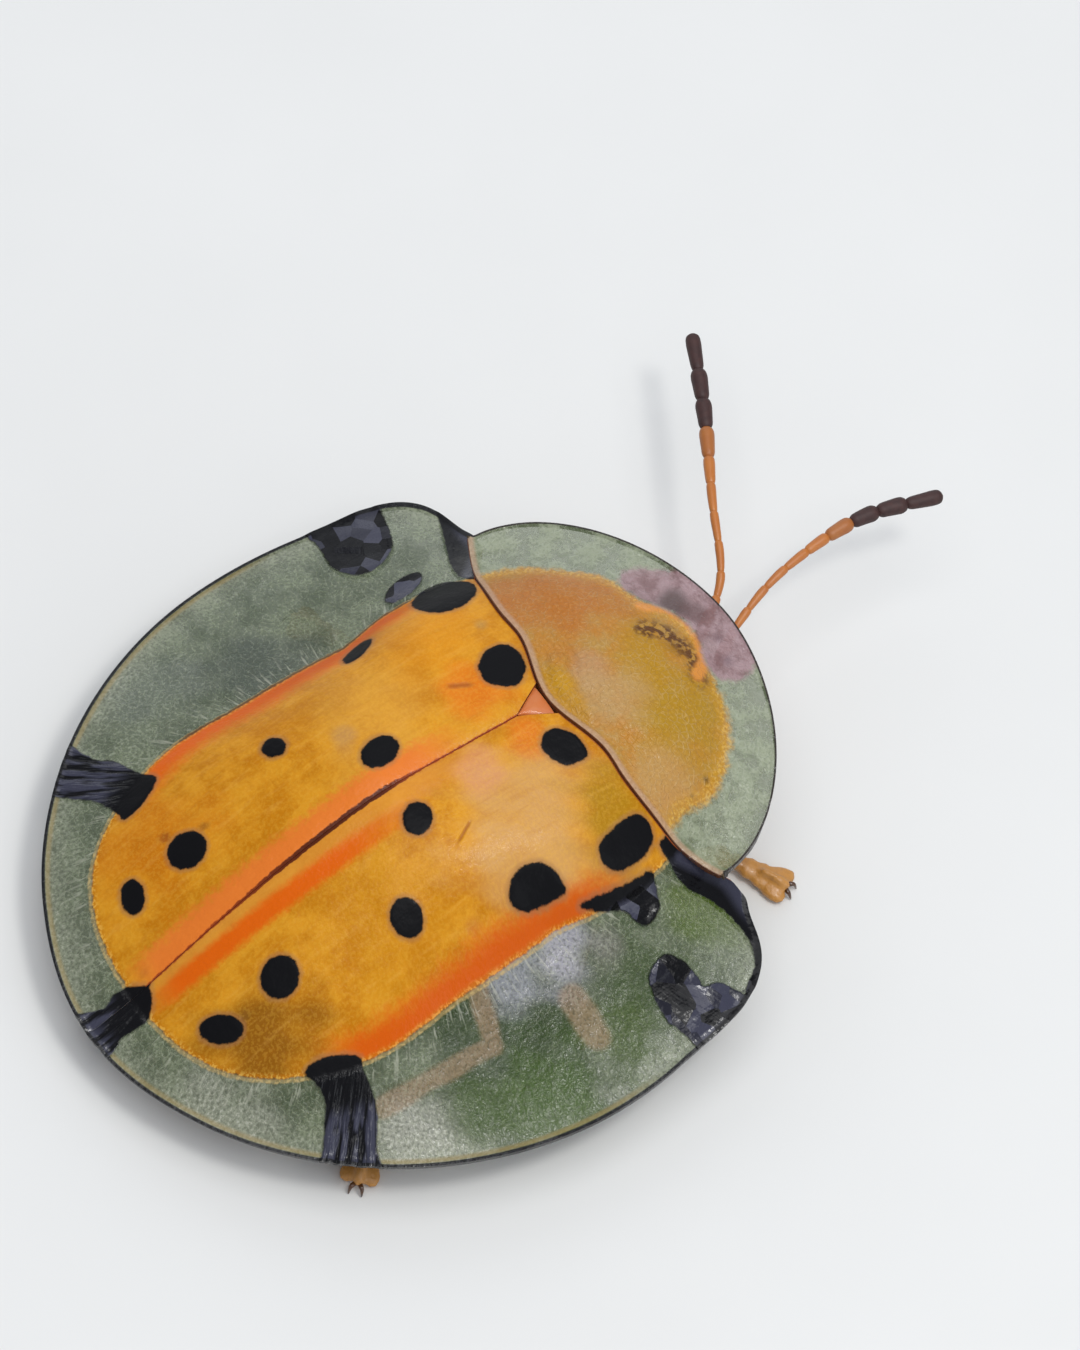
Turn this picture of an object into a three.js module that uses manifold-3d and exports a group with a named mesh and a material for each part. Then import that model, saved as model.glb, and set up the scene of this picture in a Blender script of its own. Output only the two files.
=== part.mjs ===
// A tortoise beetle at rest, life size, in millimetres, +Z up and its head towards -Y.
// Built along its own length: "along" runs forward from the tip of the wing cases,
// "across" runs out from the midline, and "up" is the height over the ground.
import * as THREE from 'three';
import { mergeVertices } from 'three/addons/utils/BufferGeometryUtils.js';
import Module from 'manifold-3d';

const wasm = await Module();
wasm.setup();

// Driving dimensions
const GAP = 0.25; // space left between neighbouring pieces
const SHELL = 0.5; // thickness of the wing cases and the pronotum
const RIM_UP = 1.35; // height of the side rims over the ground
const PEAK = 2.87; // top of the dome over the side rims
const HUB = 6.12; // the dome's centre, along from the tip
const TIP_DROP = 0.3; // how far the rim falls at the tip
const SHOULDER_LIFT = 1.02; // how far it would rise one rim radius ahead of the hub

// Plan and swell of a wing case round the hub, by the angle from straight out to the side:
// rim radius, disc radius, height of the disc's edge over the side rim, fullness of the dome
const FORM = [
  { angle: -90, rim: 6.12, disc: 5.17, edge: 0.12, full: 1.45 },
  { angle: -65, rim: 5.97, disc: 5.13, edge: 0.38, full: 1.4 },
  { angle: -40, rim: 5.9, disc: 4.37, edge: 0.72, full: 1.7 },
  { angle: -12, rim: 6.05, disc: 3.48, edge: 1.12, full: 2.5 },
  { angle: 20, rim: 6.52, disc: 3.52, edge: 1.34, full: 4 },
  { angle: 40, rim: 6.88, disc: 4.45, edge: 1.54, full: 4.4 },
  { angle: 48, rim: 6.45, disc: 4.9, edge: 1.6, full: 4.2 },
  { angle: 65, rim: 6.6, disc: 5.7, edge: 1.85, full: 4 },
  { angle: 90, rim: 7.5, disc: 7, edge: 2.2, full: 4 },
];
const MARGIN_CURVE = 1.15; // hollow of the clear margin between the disc and the rim
const LOBE_AHEAD = 0.7; // how far a wing case's shoulder reaches past its base
const LOBE_FROM = 3.85; // where the shoulder starts to swing forward
const LOBE_TO = 4.5;

// The pronotum
const PRONOTUM_HALF = 3.95;
const BASE_MID = 9.38; // its hind edge on the midline
const BASE_LOBE = { lift: 0.36, end: 1.5 }; // the edge's swing forward beside the middle lobe
const BASE_WING = { lift: 0.75, from: 1.8, curve: 1.6 }; // and on towards the corner
const BASE_BLEND = 1.3; // length over which it takes up the height of the wing cases
const BASE_FREE = 2.6; // from here out its hind corners stand free of the wing cases
const FRONT_START = 10.6;
const FRONT_REACH = 2.87;
const PRONOTUM_HUB = 9.9;
const PRONOTUM_LENGTH = 3.57;
const PRONOTUM_TOP = 2.8;
const PRONOTUM_RIM = 1.42;
const PRONOTUM_RISE = 0.104;
const PRONOTUM_STEP = 0.4; // height of its disc's edge over its rim
const PRONOTUM_DISC = 0.74; // its disc, as a share of its whole
const PRONOTUM_FULL = 3.2;

// The scutellum, a small shield between the bases of the wing cases
const SHIELD_TIP = 8.7;
const SHIELD_HALF = 0.4;
const SHIELD_UP = 2.84;

// The body under the shell
const BELLY_UP = 1.4;
const BELLY_DROP = 0.25; // the belly's fall towards its hind end
const BELLY_ROUND = 0.35; // how far its sides turn up
const ABDOMEN = { rear: 2.6, front: 6.35, half: 2.85 };
const THORAX = { rear: ABDOMEN.front + GAP, front: 9.35, half: 2.8 };
const PROTHORAX = { rear: THORAX.front + GAP, front: 11.2, half: 1.8 };
const COXA = 0.42;
const COXA_UP = 1.3;
const COXA_SET = 0.5; // how far its middle lies inside the root of the thigh

// The head, turned a little to the beetle's left
const HEAD = { across: 0.15, along: 12.35, up: 1.75, half: 1.05, length: 0.9, height: 0.75 };
const EYE = { out: 0.95, ahead: 0.15, up: 0.1, half: 0.3, length: 0.42, height: 0.48 };

// The legs, by where the hip, knee, ankle and toe stand: across, along, up
const LEGS = {
  front_right: [[0.75, 10.4, 0.86], [2.55, 10.35, 0.98], [2.8, 11.8, 0.37], [3.8, 12.4, 0.16]],
  middle_right: [[0.95, 8.65, 0.86], [2.75, 8.95, 1.02], [3.55, 8.05, 0.37], [4.85, 7.95, 0.16]],
  hind_right: [[1.1, 7.1, 0.86], [3.95, 5.85, 1.02], [3.56, 3.75, 0.37], [4.6, 2.65, 0.16]],
  front_left: [[0.75, 10.4, 0.86], [2.5, 10.5, 0.98], [2.55, 11.7, 0.37], [3.4, 12.35, 0.16]],
  middle_left: [[0.95, 8.65, 0.86], [2.95, 9.05, 1.02], [4.2, 8.5, 0.37], [5.45, 7.9, 0.16]],
  hind_left: [[1.1, 7.1, 0.86], [3.45, 6.15, 1.02], [3, 4.3, 0.37], [3.75, 3.1, 0.16]],
};
const FEMUR = { root: 0.2, middle: 0.29, end: 0.22 };
const TIBIA = { root: 0.2, middle: 0.23, end: 0.27 };
const PAD = { half: 0.27, length: 0.3, height: 0.2 };

// The feelers, by the places that their curves pass through: across to the left, along, up
const FEELERS = {
  antenna_left: [[0.5, 13.4, 2.02], [1.0, 13.95, 2.06], [1.5, 14.35, 2.2], [2.5, 14.85, 2.35],
    [4.05, 15.75, 2.35], [5.6, 16.55, 2.25]],
  antenna_right: [[-0.2, 13.4, 2.02], [0.35, 14.0, 2.06], [0.7, 15.2, 2.3], [0.82, 16.9, 2.35],
    [0.46, 18.5, 2.25]],
};
const FEELER = 0.22;
const FEELER_CLUB = 0.29;
const CLUB_SHARE = 0.36; // the thicker, dark end, as a share of the feeler's length

const finish = {
  disc: new THREE.MeshStandardMaterial({ color: 0xe08c1c, roughness: 0.32, metalness: 0 }),
  collar: new THREE.MeshStandardMaterial({ color: 0xb98a4a, roughness: 0.3, metalness: 0 }),
  shield: new THREE.MeshStandardMaterial({ color: 0xe27a4a, roughness: 0.4, metalness: 0 }),
  flesh: new THREE.MeshStandardMaterial({ color: 0xc98f4a, roughness: 0.55, metalness: 0 }),
  leg: new THREE.MeshStandardMaterial({ color: 0xcf8a3f, roughness: 0.5, metalness: 0 }),
  eye: new THREE.MeshStandardMaterial({ color: 0x1a1216, roughness: 0.18, metalness: 0 }),
  feeler: new THREE.MeshStandardMaterial({ color: 0xb5622a, roughness: 0.5, metalness: 0 }),
};

// A smooth step from 0 to 1 between two places
function step(from, to, value) {
  const share = THREE.MathUtils.clamp((value - from) / (to - from), 0, 1);
  return share * share * (3 - 2 * share);
}

// One row of the wing case's form at any angle, on a smooth curve through the named rows
function formAt(angle) {
  const last = FORM.length - 2;
  let low = 0;
  while (low < last && FORM[low + 1].angle < angle) low += 1;
  const before = FORM[Math.max(0, low - 1)];
  const start = FORM[low];
  const end = FORM[low + 1];
  const after = FORM[Math.min(FORM.length - 1, low + 2)];
  const span = end.angle - start.angle;
  const t = (angle - start.angle) / span;
  const row = {};
  for (const key of ['rim', 'disc', 'edge', 'full']) {
    const slopeIn = low === 0 ? 0 : (end[key] - before[key]) / (end.angle - before.angle) * span;
    const slopeOut = low === last ? 0 : (after[key] - start[key]) / (after.angle - start.angle) * span;
    row[key] = (2 * t ** 3 - 3 * t ** 2 + 1) * start[key] + (t ** 3 - 2 * t ** 2 + t) * slopeIn
      + (3 * t ** 2 - 2 * t ** 3) * end[key] + (t ** 3 - t ** 2) * slopeOut;
  }
  return row;
}

// Height of the rim over the side rims
function rimHeight(along) {
  const reach = (along - HUB) / 6;
  return reach < 0 ? -TIP_DROP * reach * reach : SHOULDER_LIFT * reach * reach;
}

// Top of the wing cases over the ground
function wingTop(across, along) {
  const out = Math.abs(across);
  const turn = Math.atan2(along - HUB, out);
  const reach = Math.hypot(out, along - HUB);
  const { rim, disc, edge, full } = formAt(THREE.MathUtils.radToDeg(turn));
  if (reach < disc) return RIM_UP + edge + (PEAK - edge) * (1 - (reach / disc) ** full);
  const low = rimHeight(HUB + rim * Math.sin(turn));
  const share = Math.min(1, (reach - disc) / (rim - disc));
  return RIM_UP + low + (edge - low) * (1 - share) ** MARGIN_CURVE;
}

// Hind edge of the pronotum
function hindEdge(across) {
  const out = Math.min(PRONOTUM_HALF, Math.abs(across));
  const wing = Math.max(0, out - BASE_WING.from) / (PRONOTUM_HALF - BASE_WING.from);
  return BASE_MID + BASE_LOBE.lift * step(0, BASE_LOBE.end, out) + BASE_WING.lift * wing ** BASE_WING.curve;
}

// Front rim of the pronotum
function frontEdge(across) {
  const share = Math.min(1, Math.abs(across) / PRONOTUM_HALF);
  return FRONT_START + FRONT_REACH * (1 - share ** 1.8) ** 0.55;
}

// Top of the pronotum over the ground
function pronotumTop(across, along) {
  const share = Math.hypot(across / PRONOTUM_HALF, Math.max(0, along - PRONOTUM_HUB) / PRONOTUM_LENGTH);
  const rim = RIM_UP + PRONOTUM_RIM + PRONOTUM_RISE * (along - FRONT_START);
  const edge = rim + PRONOTUM_STEP;
  const top = RIM_UP + PRONOTUM_TOP;
  const own = share < PRONOTUM_DISC
    ? edge + (top - edge) * (1 - (share / PRONOTUM_DISC) ** PRONOTUM_FULL)
    : rim + PRONOTUM_STEP * Math.max(0, (1 - share) / (1 - PRONOTUM_DISC));
  const corner = step(BASE_FREE, PRONOTUM_HALF, Math.abs(across));
  const near = (1 - step(0, BASE_BLEND, along - hindEdge(across))) * (1 - corner);
  return THREE.MathUtils.lerp(own, wingTop(across, along), near);
}

// Where a wing case must stop in front: short of the pronotum and of the scutellum
function wingLimit(across) {
  const base = hindEdge(across) - GAP + LOBE_AHEAD * step(LOBE_FROM, LOBE_TO, across);
  const notchSlope = (BASE_MID - SHIELD_TIP) / SHIELD_HALF;
  return Math.min(base, SHIELD_TIP - GAP + notchSlope * Math.max(0, across - GAP / 2));
}

// How far a wing case reaches from the hub at one angle
function wingReach(turn) {
  const { rim } = formAt(THREE.MathUtils.radToDeg(turn));
  let low = 0;
  let high = rim;
  if (HUB + rim * Math.sin(turn) <= wingLimit(rim * Math.cos(turn))) return rim;
  for (let pass = 0; pass < 24; pass += 1) {
    const reach = (low + high) / 2;
    if (HUB + reach * Math.sin(turn) <= wingLimit(reach * Math.cos(turn))) low = reach;
    else high = reach;
  }
  return low;
}

// The point that lies a depth under a surface, measured square to it
function sink(point, height, depth) {
  const probe = 0.02;
  const slopeX = (height(point.x + probe, -point.y) - height(point.x - probe, -point.y)) / (2 * probe);
  const slopeY = (height(point.x, -point.y - probe) - height(point.x, -point.y + probe)) / (2 * probe);
  const normal = new THREE.Vector3(-slopeX, -slopeY, 1).normalize();
  return point.clone().addScaledVector(normal, -depth);
}

// Height of a surface lowered by a depth measured square to it
function lowered(height, across, along, depth) {
  const probe = 0.05;
  const slopeX = (height(across + probe, along) - height(across - probe, along)) / (2 * probe);
  const slopeY = (height(across, along + probe) - height(across, along - probe)) / (2 * probe);
  return height(across, along) - depth * Math.hypot(slopeX, slopeY, 1);
}

// A closed body between two grids of points that share their plan
function slab(upper, lower) {
  const rows = upper.length;
  const columns = upper[0].length;
  const place = [];
  const faces = [];
  for (const grid of [upper, lower]) {
    for (const row of grid) for (const point of row) place.push(point.x, point.y, point.z);
  }
  const at = (layer, row, column) => layer * rows * columns + row * columns + column;
  const quad = (a, b, c, d) => faces.push(a, b, c, a, c, d);
  for (let row = 0; row < rows - 1; row += 1) {
    for (let column = 0; column < columns - 1; column += 1) {
      quad(at(0, row, column), at(0, row, column + 1), at(0, row + 1, column + 1), at(0, row + 1, column));
      quad(at(1, row, column), at(1, row + 1, column), at(1, row + 1, column + 1), at(1, row, column + 1));
    }
  }
  for (let row = 0; row < rows - 1; row += 1) {
    const end = columns - 1;
    quad(at(0, row, 0), at(0, row + 1, 0), at(1, row + 1, 0), at(1, row, 0));
    quad(at(0, row + 1, end), at(0, row, end), at(1, row, end), at(1, row + 1, end));
  }
  for (let column = 0; column < columns - 1; column += 1) {
    const end = rows - 1;
    quad(at(0, 0, column + 1), at(0, 0, column), at(1, 0, column), at(1, 0, column + 1));
    quad(at(0, end, column), at(0, end, column + 1), at(1, end, column + 1), at(1, end, column));
  }
  return tidy(place, faces);
}

// A geometry whose shared corners are merged and whose empty triangles are dropped,
// with its faces turned outwards
function tidy(place, faces) {
  const loose = new THREE.BufferGeometry();
  loose.setAttribute('position', new THREE.Float32BufferAttribute(place, 3));
  loose.setIndex(faces);
  const merged = mergeVertices(loose, 1e-4);
  const index = merged.index.array;
  const kept = [];
  const corner = (k) => new THREE.Vector3().fromBufferAttribute(merged.attributes.position, k);
  let volume = 0;
  for (let k = 0; k < index.length; k += 3) {
    const [a, b, c] = [index[k], index[k + 1], index[k + 2]];
    if (a === b || b === c || a === c) continue;
    kept.push(a, b, c);
    volume += corner(a).dot(corner(b).cross(corner(c)));
  }
  if (volume < 0) kept.reverse();
  merged.setIndex(kept);
  return merged;
}

// Joining and cutting of closed pieces
function solid(geometry) {
  const bare = geometry.clone();
  bare.deleteAttribute('normal');
  bare.deleteAttribute('uv');
  const merged = mergeVertices(bare, 1e-4);
  return new wasm.Manifold(new wasm.Mesh({
    numProp: 3,
    vertProperties: new Float32Array(merged.attributes.position.array),
    triVerts: new Uint32Array(merged.index.array),
  }));
}

function geometryOf(body) {
  const pieces = body.decompose();
  pieces.sort((a, b) => b.volume() - a.volume());
  const mesh = pieces[0].getMesh();
  return tidy(Array.from(mesh.vertProperties), Array.from(mesh.triVerts));
}

function joined(geometries) {
  return geometries.map(solid).reduce((whole, next) => whole.add(next));
}

// An egg-shaped lump with its own half sizes, turned about the upright axis
function lump(centre, half, sides = 8, bands = 6, turn = 0) {
  const shape = new THREE.SphereGeometry(1, sides, bands);
  shape.rotateX(Math.PI / 2);
  shape.scale(half.x, half.y, half.z);
  shape.rotateZ(turn);
  shape.translate(centre.x, centre.y, centre.z);
  return shape;
}

// A limb's segment turned on its own axis, laid from one place to another
function segment(from, to, radii) {
  const length = from.distanceTo(to);
  const profile = [
    new THREE.Vector2(0, 0),
    new THREE.Vector2(radii.root * 0.75, length * 0.03),
    new THREE.Vector2(radii.root, length * 0.12),
    new THREE.Vector2(radii.middle, length * 0.5),
    new THREE.Vector2(radii.end, length * 0.9),
    new THREE.Vector2(radii.end * 0.7, length * 0.98),
    new THREE.Vector2(0, length),
  ];
  const shape = new THREE.LatheGeometry(profile, 8);
  const turn = new THREE.Quaternion().setFromUnitVectors(
    new THREE.Vector3(0, 1, 0),
    to.clone().sub(from).normalize(),
  );
  shape.applyQuaternion(turn);
  shape.translate(from.x, from.y, from.z);
  return geometryOf(solid(shape));
}

const beetle = new THREE.Group();

function part(name, geometry, material) {
  geometry.computeVertexNormals();
  const mesh = new THREE.Mesh(geometry, material.clone());
  mesh.name = name;
  beetle.add(mesh);
}

// Wing cases: a domed disc with a wide, low margin round it
function wingCase(side) {
  const discSteps = 6;
  const marginSteps = 5;
  const rays = [];
  for (let turn = -90; turn < 36; turn += 7) rays.push(turn);
  rays.push(38, 42, 45, 47, 48.5, 51, 56, 62, 69, 76, 81, 84, 87, 90);
  const top = [];
  const under = [];
  for (const ray of rays) {
    const turn = THREE.MathUtils.degToRad(ray);
    const reach = wingReach(turn);
    const disc = Math.min(formAt(ray).disc, reach * 0.82);
    const line = [];
    const below = [];
    for (let k = 0; k <= discSteps + marginSteps; k += 1) {
      const past = Math.max(0, k - discSteps) / marginSteps;
      const far = disc * Math.min(1, k / discSteps) + (reach - disc) * past;
      const across = GAP / 2 + far * Math.cos(turn) * (1 - GAP / 2 / reach);
      const along = HUB + far * Math.sin(turn);
      const point = new THREE.Vector3(across, -along, wingTop(across, along));
      line.push(point);
      const low = sink(point, wingTop, SHELL);
      low.x = Math.max(GAP / 2, low.x);
      below.push(low);
    }
    top.push(line);
    under.push(below);
  }
  for (const grid of [top, under]) {
    for (const row of grid) for (const point of row) point.x *= side;
  }
  return slab(top, under);
}
part('elytron_left', wingCase(1), finish.disc);
part('elytron_right', wingCase(-1), finish.disc);

// Pronotum: the shield over the head, one domed plate with a clear rim
function pronotum() {
  const columns = 26;
  const rows = 8;
  const top = [];
  const under = [];
  for (let i = 0; i <= columns; i += 1) {
    const across = PRONOTUM_HALF * Math.sin(Math.PI * (i / columns - 0.5));
    const line = [];
    const below = [];
    for (let k = 0; k <= rows; k += 1) {
      const along = THREE.MathUtils.lerp(hindEdge(across), frontEdge(across), k / rows);
      const point = new THREE.Vector3(across, -along, pronotumTop(across, along));
      line.push(point);
      below.push(sink(point, pronotumTop, SHELL));
    }
    top.push(line);
    under.push(below);
  }
  return slab(top, under);
}
part('pronotum', pronotum(), finish.collar);

// Scutellum
function scutellum() {
  const outline = new THREE.Shape();
  outline.moveTo(0, -SHIELD_TIP);
  outline.quadraticCurveTo(SHIELD_HALF * 0.9, -SHIELD_TIP - 0.25, SHIELD_HALF, -BASE_MID + GAP);
  outline.lineTo(-SHIELD_HALF, -BASE_MID + GAP);
  outline.quadraticCurveTo(-SHIELD_HALF * 0.9, -SHIELD_TIP - 0.25, 0, -SHIELD_TIP);
  const shape = new THREE.ExtrudeGeometry(outline, { depth: SHELL, bevelEnabled: false, curveSegments: 4 });
  shape.translate(0, 0, RIM_UP + SHIELD_UP - SHELL);
  return geometryOf(solid(shape));
}
part('scutellum', scutellum(), finish.shield);

// A length of the body, from a half width that varies along it
function trunk(span, widthAt, roof, coxae) {
  const columns = 10;
  const rows = 8;
  const top = [];
  const under = [];
  for (let i = 0; i <= rows; i += 1) {
    const along = THREE.MathUtils.lerp(span.rear, span.front, i / rows);
    const line = [];
    const below = [];
    for (let k = 0; k <= columns; k += 1) {
      const side = Math.sin(Math.PI * (k / columns - 0.5));
      const across = side * widthAt(along);
      const high = lowered(roof, across, along, SHELL + GAP);
      const fall = BELLY_DROP * step(THORAX.rear, ABDOMEN.rear, along);
      const low = Math.min(BELLY_UP - fall + BELLY_ROUND * side ** 4, high - 0.2);
      line.push(new THREE.Vector3(across, -along, high));
      below.push(new THREE.Vector3(across, -along, low));
    }
    top.push(line);
    under.push(below);
  }
  const whole = [slab(top, under)];
  for (const [across, along] of coxae) {
    for (const side of [1, -1]) {
      const centre = new THREE.Vector3(side * across, -along, COXA_UP);
      whole.push(lump(centre, new THREE.Vector3(COXA, COXA, COXA)));
    }
  }
  return geometryOf(joined(whole));
}
const coxaAt = (leg) => [LEGS[leg][0][0] - COXA_SET, LEGS[leg][0][1]];
const roundEnd = (along) => {
  const share = THREE.MathUtils.clamp((ABDOMEN.front - along) / (ABDOMEN.front - ABDOMEN.rear), 0, 1);
  return ABDOMEN.half * (1 - 0.62 * share ** 3.2);
};
const thoraxWidth = (along) => THORAX.half - 0.45 * step(THORAX.rear + 1.2, THORAX.front, along);
part('abdomen', trunk(ABDOMEN, roundEnd, wingTop, []), finish.flesh);
part('thorax', trunk(THORAX, thoraxWidth, wingTop, [coxaAt('middle_left'), coxaAt('hind_left')]), finish.flesh);
part('prothorax', trunk(PROTHORAX, () => PROTHORAX.half, pronotumTop, [coxaAt('front_left')]), finish.flesh);

// Head, eyes and mouthparts
const headCentre = new THREE.Vector3(HEAD.across, -HEAD.along, HEAD.up);
const headHalf = new THREE.Vector3(HEAD.half, HEAD.length, HEAD.height);
const eyeHalf = new THREE.Vector3(EYE.half, EYE.length, EYE.height);
function eyeCentre(side) {
  return headCentre.clone().add(new THREE.Vector3(side * EYE.out, -EYE.ahead, EYE.up));
}
let head = solid(lump(headCentre, headHalf, 16, 12));
for (const side of [1, -1]) {
  const socket = eyeHalf.clone().addScalar(GAP * 0.8);
  head = head.subtract(solid(lump(eyeCentre(side), socket, 12, 8)));
}
part('head', geometryOf(head), finish.flesh);
part('eye_left', geometryOf(solid(lump(eyeCentre(1), eyeHalf, 12, 8))), finish.eye);
part('eye_right', geometryOf(solid(lump(eyeCentre(-1), eyeHalf, 12, 8))), finish.eye);

// Lip and two palps, hanging in front of the mouth
function mouthparts() {
  const centre = headCentre.clone().add(new THREE.Vector3(0, -HEAD.length * 0.72, -HEAD.height - 0.12));
  const lip = lump(centre, new THREE.Vector3(0.42, 0.3, 0.3), 10, 6);
  const palps = [1, -1].map((side) => {
    const start = centre.clone().add(new THREE.Vector3(side * 0.25, 0, 0));
    const end = centre.clone().add(new THREE.Vector3(side * 0.5, -0.25, -0.42));
    return segment(start, end, { root: 0.17, middle: 0.17, end: 0.15 });
  });
  return geometryOf(joined([lip, ...palps]));
}
part('mouthparts', mouthparts(), finish.leg);

// Feelers: eleven joints, the last four thicker and dark
function feeler(places) {
  const points = places.map(([across, along, up]) => new THREE.Vector3(across, -along, up));
  const path = new THREE.CatmullRomCurve3(points);
  const joints = 11;
  const rings = joints * 2;
  const sides = 6;
  const frames = path.computeFrenetFrames(rings);
  const place = [];
  const faces = [];
  for (let i = 0; i <= rings; i += 1) {
    const share = i / rings;
    const swell = step(1 - CLUB_SHARE, 1 - CLUB_SHARE * 0.6, share);
    const waist = i % 2 === 0 ? 0.86 : 1;
    const tip = i === rings ? 0.35 : 1;
    const radius = THREE.MathUtils.lerp(FEELER, FEELER_CLUB, swell) * waist * tip;
    const centre = path.getPointAt(share);
    for (let k = 0; k < sides; k += 1) {
      const turn = (2 * Math.PI * k) / sides;
      const spoke = frames.normals[i].clone().multiplyScalar(Math.cos(turn) * radius)
        .addScaledVector(frames.binormals[i], Math.sin(turn) * radius).add(centre);
      place.push(spoke.x, spoke.y, spoke.z);
    }
  }
  for (let i = 0; i < rings; i += 1) {
    for (let k = 0; k < sides; k += 1) {
      const next = (k + 1) % sides;
      const [a, b] = [i * sides + k, i * sides + next];
      faces.push(a, b, b + sides, a, b + sides, a + sides);
    }
  }
  for (let k = 1; k < sides - 1; k += 1) {
    faces.push(0, k + 1, k);
    faces.push(rings * sides, rings * sides + k, rings * sides + k + 1);
  }
  return tidy(place, faces);
}
for (const [name, places] of Object.entries(FEELERS)) part(name, feeler(places), finish.feeler);

// A foot: three broad pads and a last joint with two claws, its soles flat on the ground
function foot(ankle, toe) {
  const ahead = toe.clone().sub(ankle);
  const turn = Math.atan2(ahead.y, ahead.x) - Math.PI / 2;
  const across = new THREE.Vector3(Math.cos(turn), Math.sin(turn), 0);
  const pieces = [];
  for (const [share, size] of [[0.2, 0.85], [0.45, 0.95], [0.72, 1.1]]) {
    const centre = ankle.clone().lerp(toe, share);
    centre.z = Math.max(centre.z - 0.05, PAD.height * 0.9);
    const half = new THREE.Vector3(PAD.half * size, PAD.length * size, PAD.height);
    pieces.push(lump(centre, half, 8, 6, turn));
  }
  const wrist = ankle.clone().lerp(toe, 0.72);
  for (const side of [1, -1]) {
    const tip = toe.clone().addScaledVector(across, side * 0.16);
    tip.z = 0.1;
    pieces.push(segment(wrist, tip, { root: 0.15, middle: 0.15, end: 0.08 }));
  }
  const below = new THREE.BoxGeometry(30, 60, 2);
  below.translate(0, 0, -1);
  return geometryOf(joined(pieces).subtract(solid(below)));
}

// Legs
for (const [leg, stations] of Object.entries(LEGS)) {
  const side = leg.endsWith('left') ? 1 : -1;
  const [hip, knee, ankle, toe] = stations.map(([across, along, up]) => (
    new THREE.Vector3(side * across, -along, up)
  ));
  const thigh = knee.clone().sub(hip).normalize();
  const shin = ankle.clone().sub(knee).normalize();
  const sole = toe.clone().sub(ankle).normalize();
  const kneeEnd = knee.clone().addScaledVector(thigh, -FEMUR.end);
  const shinStart = knee.clone().addScaledVector(shin, TIBIA.root);
  const shinEnd = ankle.clone().addScaledVector(shin, -GAP / 2);
  const soleStart = ankle.clone().addScaledVector(sole, GAP / 2);
  part(`${leg}_femur`, segment(hip, kneeEnd, FEMUR), finish.leg);
  part(`${leg}_tibia`, segment(shinStart, shinEnd, TIBIA), finish.leg);
  part(`${leg}_tarsus`, foot(soleStart, toe), finish.leg);
}

// The origin is the middle of the whole beetle's plan, at ground level
const reach = new THREE.Box3().setFromObject(beetle);
beetle.position.x = -(reach.min.x + reach.max.x) / 2;
beetle.position.y = -(reach.min.y + reach.max.y) / 2;

export default beetle;
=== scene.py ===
# The looks of a tortoise beetle, life size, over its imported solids
import math
import bpy
import numpy as np
from mathutils import Matrix, Vector


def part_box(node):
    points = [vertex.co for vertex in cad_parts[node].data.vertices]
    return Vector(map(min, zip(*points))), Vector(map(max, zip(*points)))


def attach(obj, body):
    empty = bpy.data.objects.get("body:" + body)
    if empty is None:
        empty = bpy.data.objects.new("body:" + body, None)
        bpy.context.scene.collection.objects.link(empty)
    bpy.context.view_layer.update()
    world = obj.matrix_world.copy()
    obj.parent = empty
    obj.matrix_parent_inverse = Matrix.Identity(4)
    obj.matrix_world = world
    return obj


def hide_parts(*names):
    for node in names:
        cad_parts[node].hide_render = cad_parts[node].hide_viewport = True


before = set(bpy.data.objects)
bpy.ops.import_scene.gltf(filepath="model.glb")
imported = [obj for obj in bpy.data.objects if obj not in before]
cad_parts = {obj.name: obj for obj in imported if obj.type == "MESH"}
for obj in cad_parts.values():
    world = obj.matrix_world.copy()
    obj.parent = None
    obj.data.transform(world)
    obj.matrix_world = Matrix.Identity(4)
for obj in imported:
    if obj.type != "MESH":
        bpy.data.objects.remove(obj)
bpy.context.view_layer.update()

# The beetle's own measure: millimetres across to its left, along from the tip of its wing
# cases, and up from the floor. Pieces are shaped a thousand times life size and shrunk last.
MM = 0.001
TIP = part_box("elytron_left")[1][1] / MM
GROUND = 0.0


def spot(across, along, up):
    return Vector((across, TIP - along, up))


# BODY
# The trunk, head and legs are one skin of hard, jointed plates, amber brown below the shell.
# It is drawn out of balls along the limbs, fused, smoothed, and then scored with its sutures.
BELLY = 1.34
BELLY_DEPTH = 0.35
TRUNK = [
    {"name": "abdomen", "rear": 2.5, "front": 6.7, "half": 2.85, "roof": 2.7, "square": 0.62},
    {"name": "thorax", "rear": 6.2, "front": 9.45, "half": 2.75, "roof": 3.35, "square": 0.6},
    {"name": "prothorax", "rear": 9.1, "front": 11.35, "half": 1.8, "roof": 3.3, "square": 0.7},
    {"name": "neck", "rear": 10.9, "front": 12.4, "half": 0.85, "roof": 2.5, "square": 0.9},
]
ABDOMEN_DROOP = 0.75
HEAD_AT = spot(0.15, 12.35, 1.75)
HEAD_HALF = Vector((1.0, 0.88, 0.75))
HIPS = {
    "front": (0.75, 10.4, 0.86),
    "middle": (0.95, 8.65, 0.86),
    "hind": (1.1, 7.1, 0.86),
}
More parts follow.
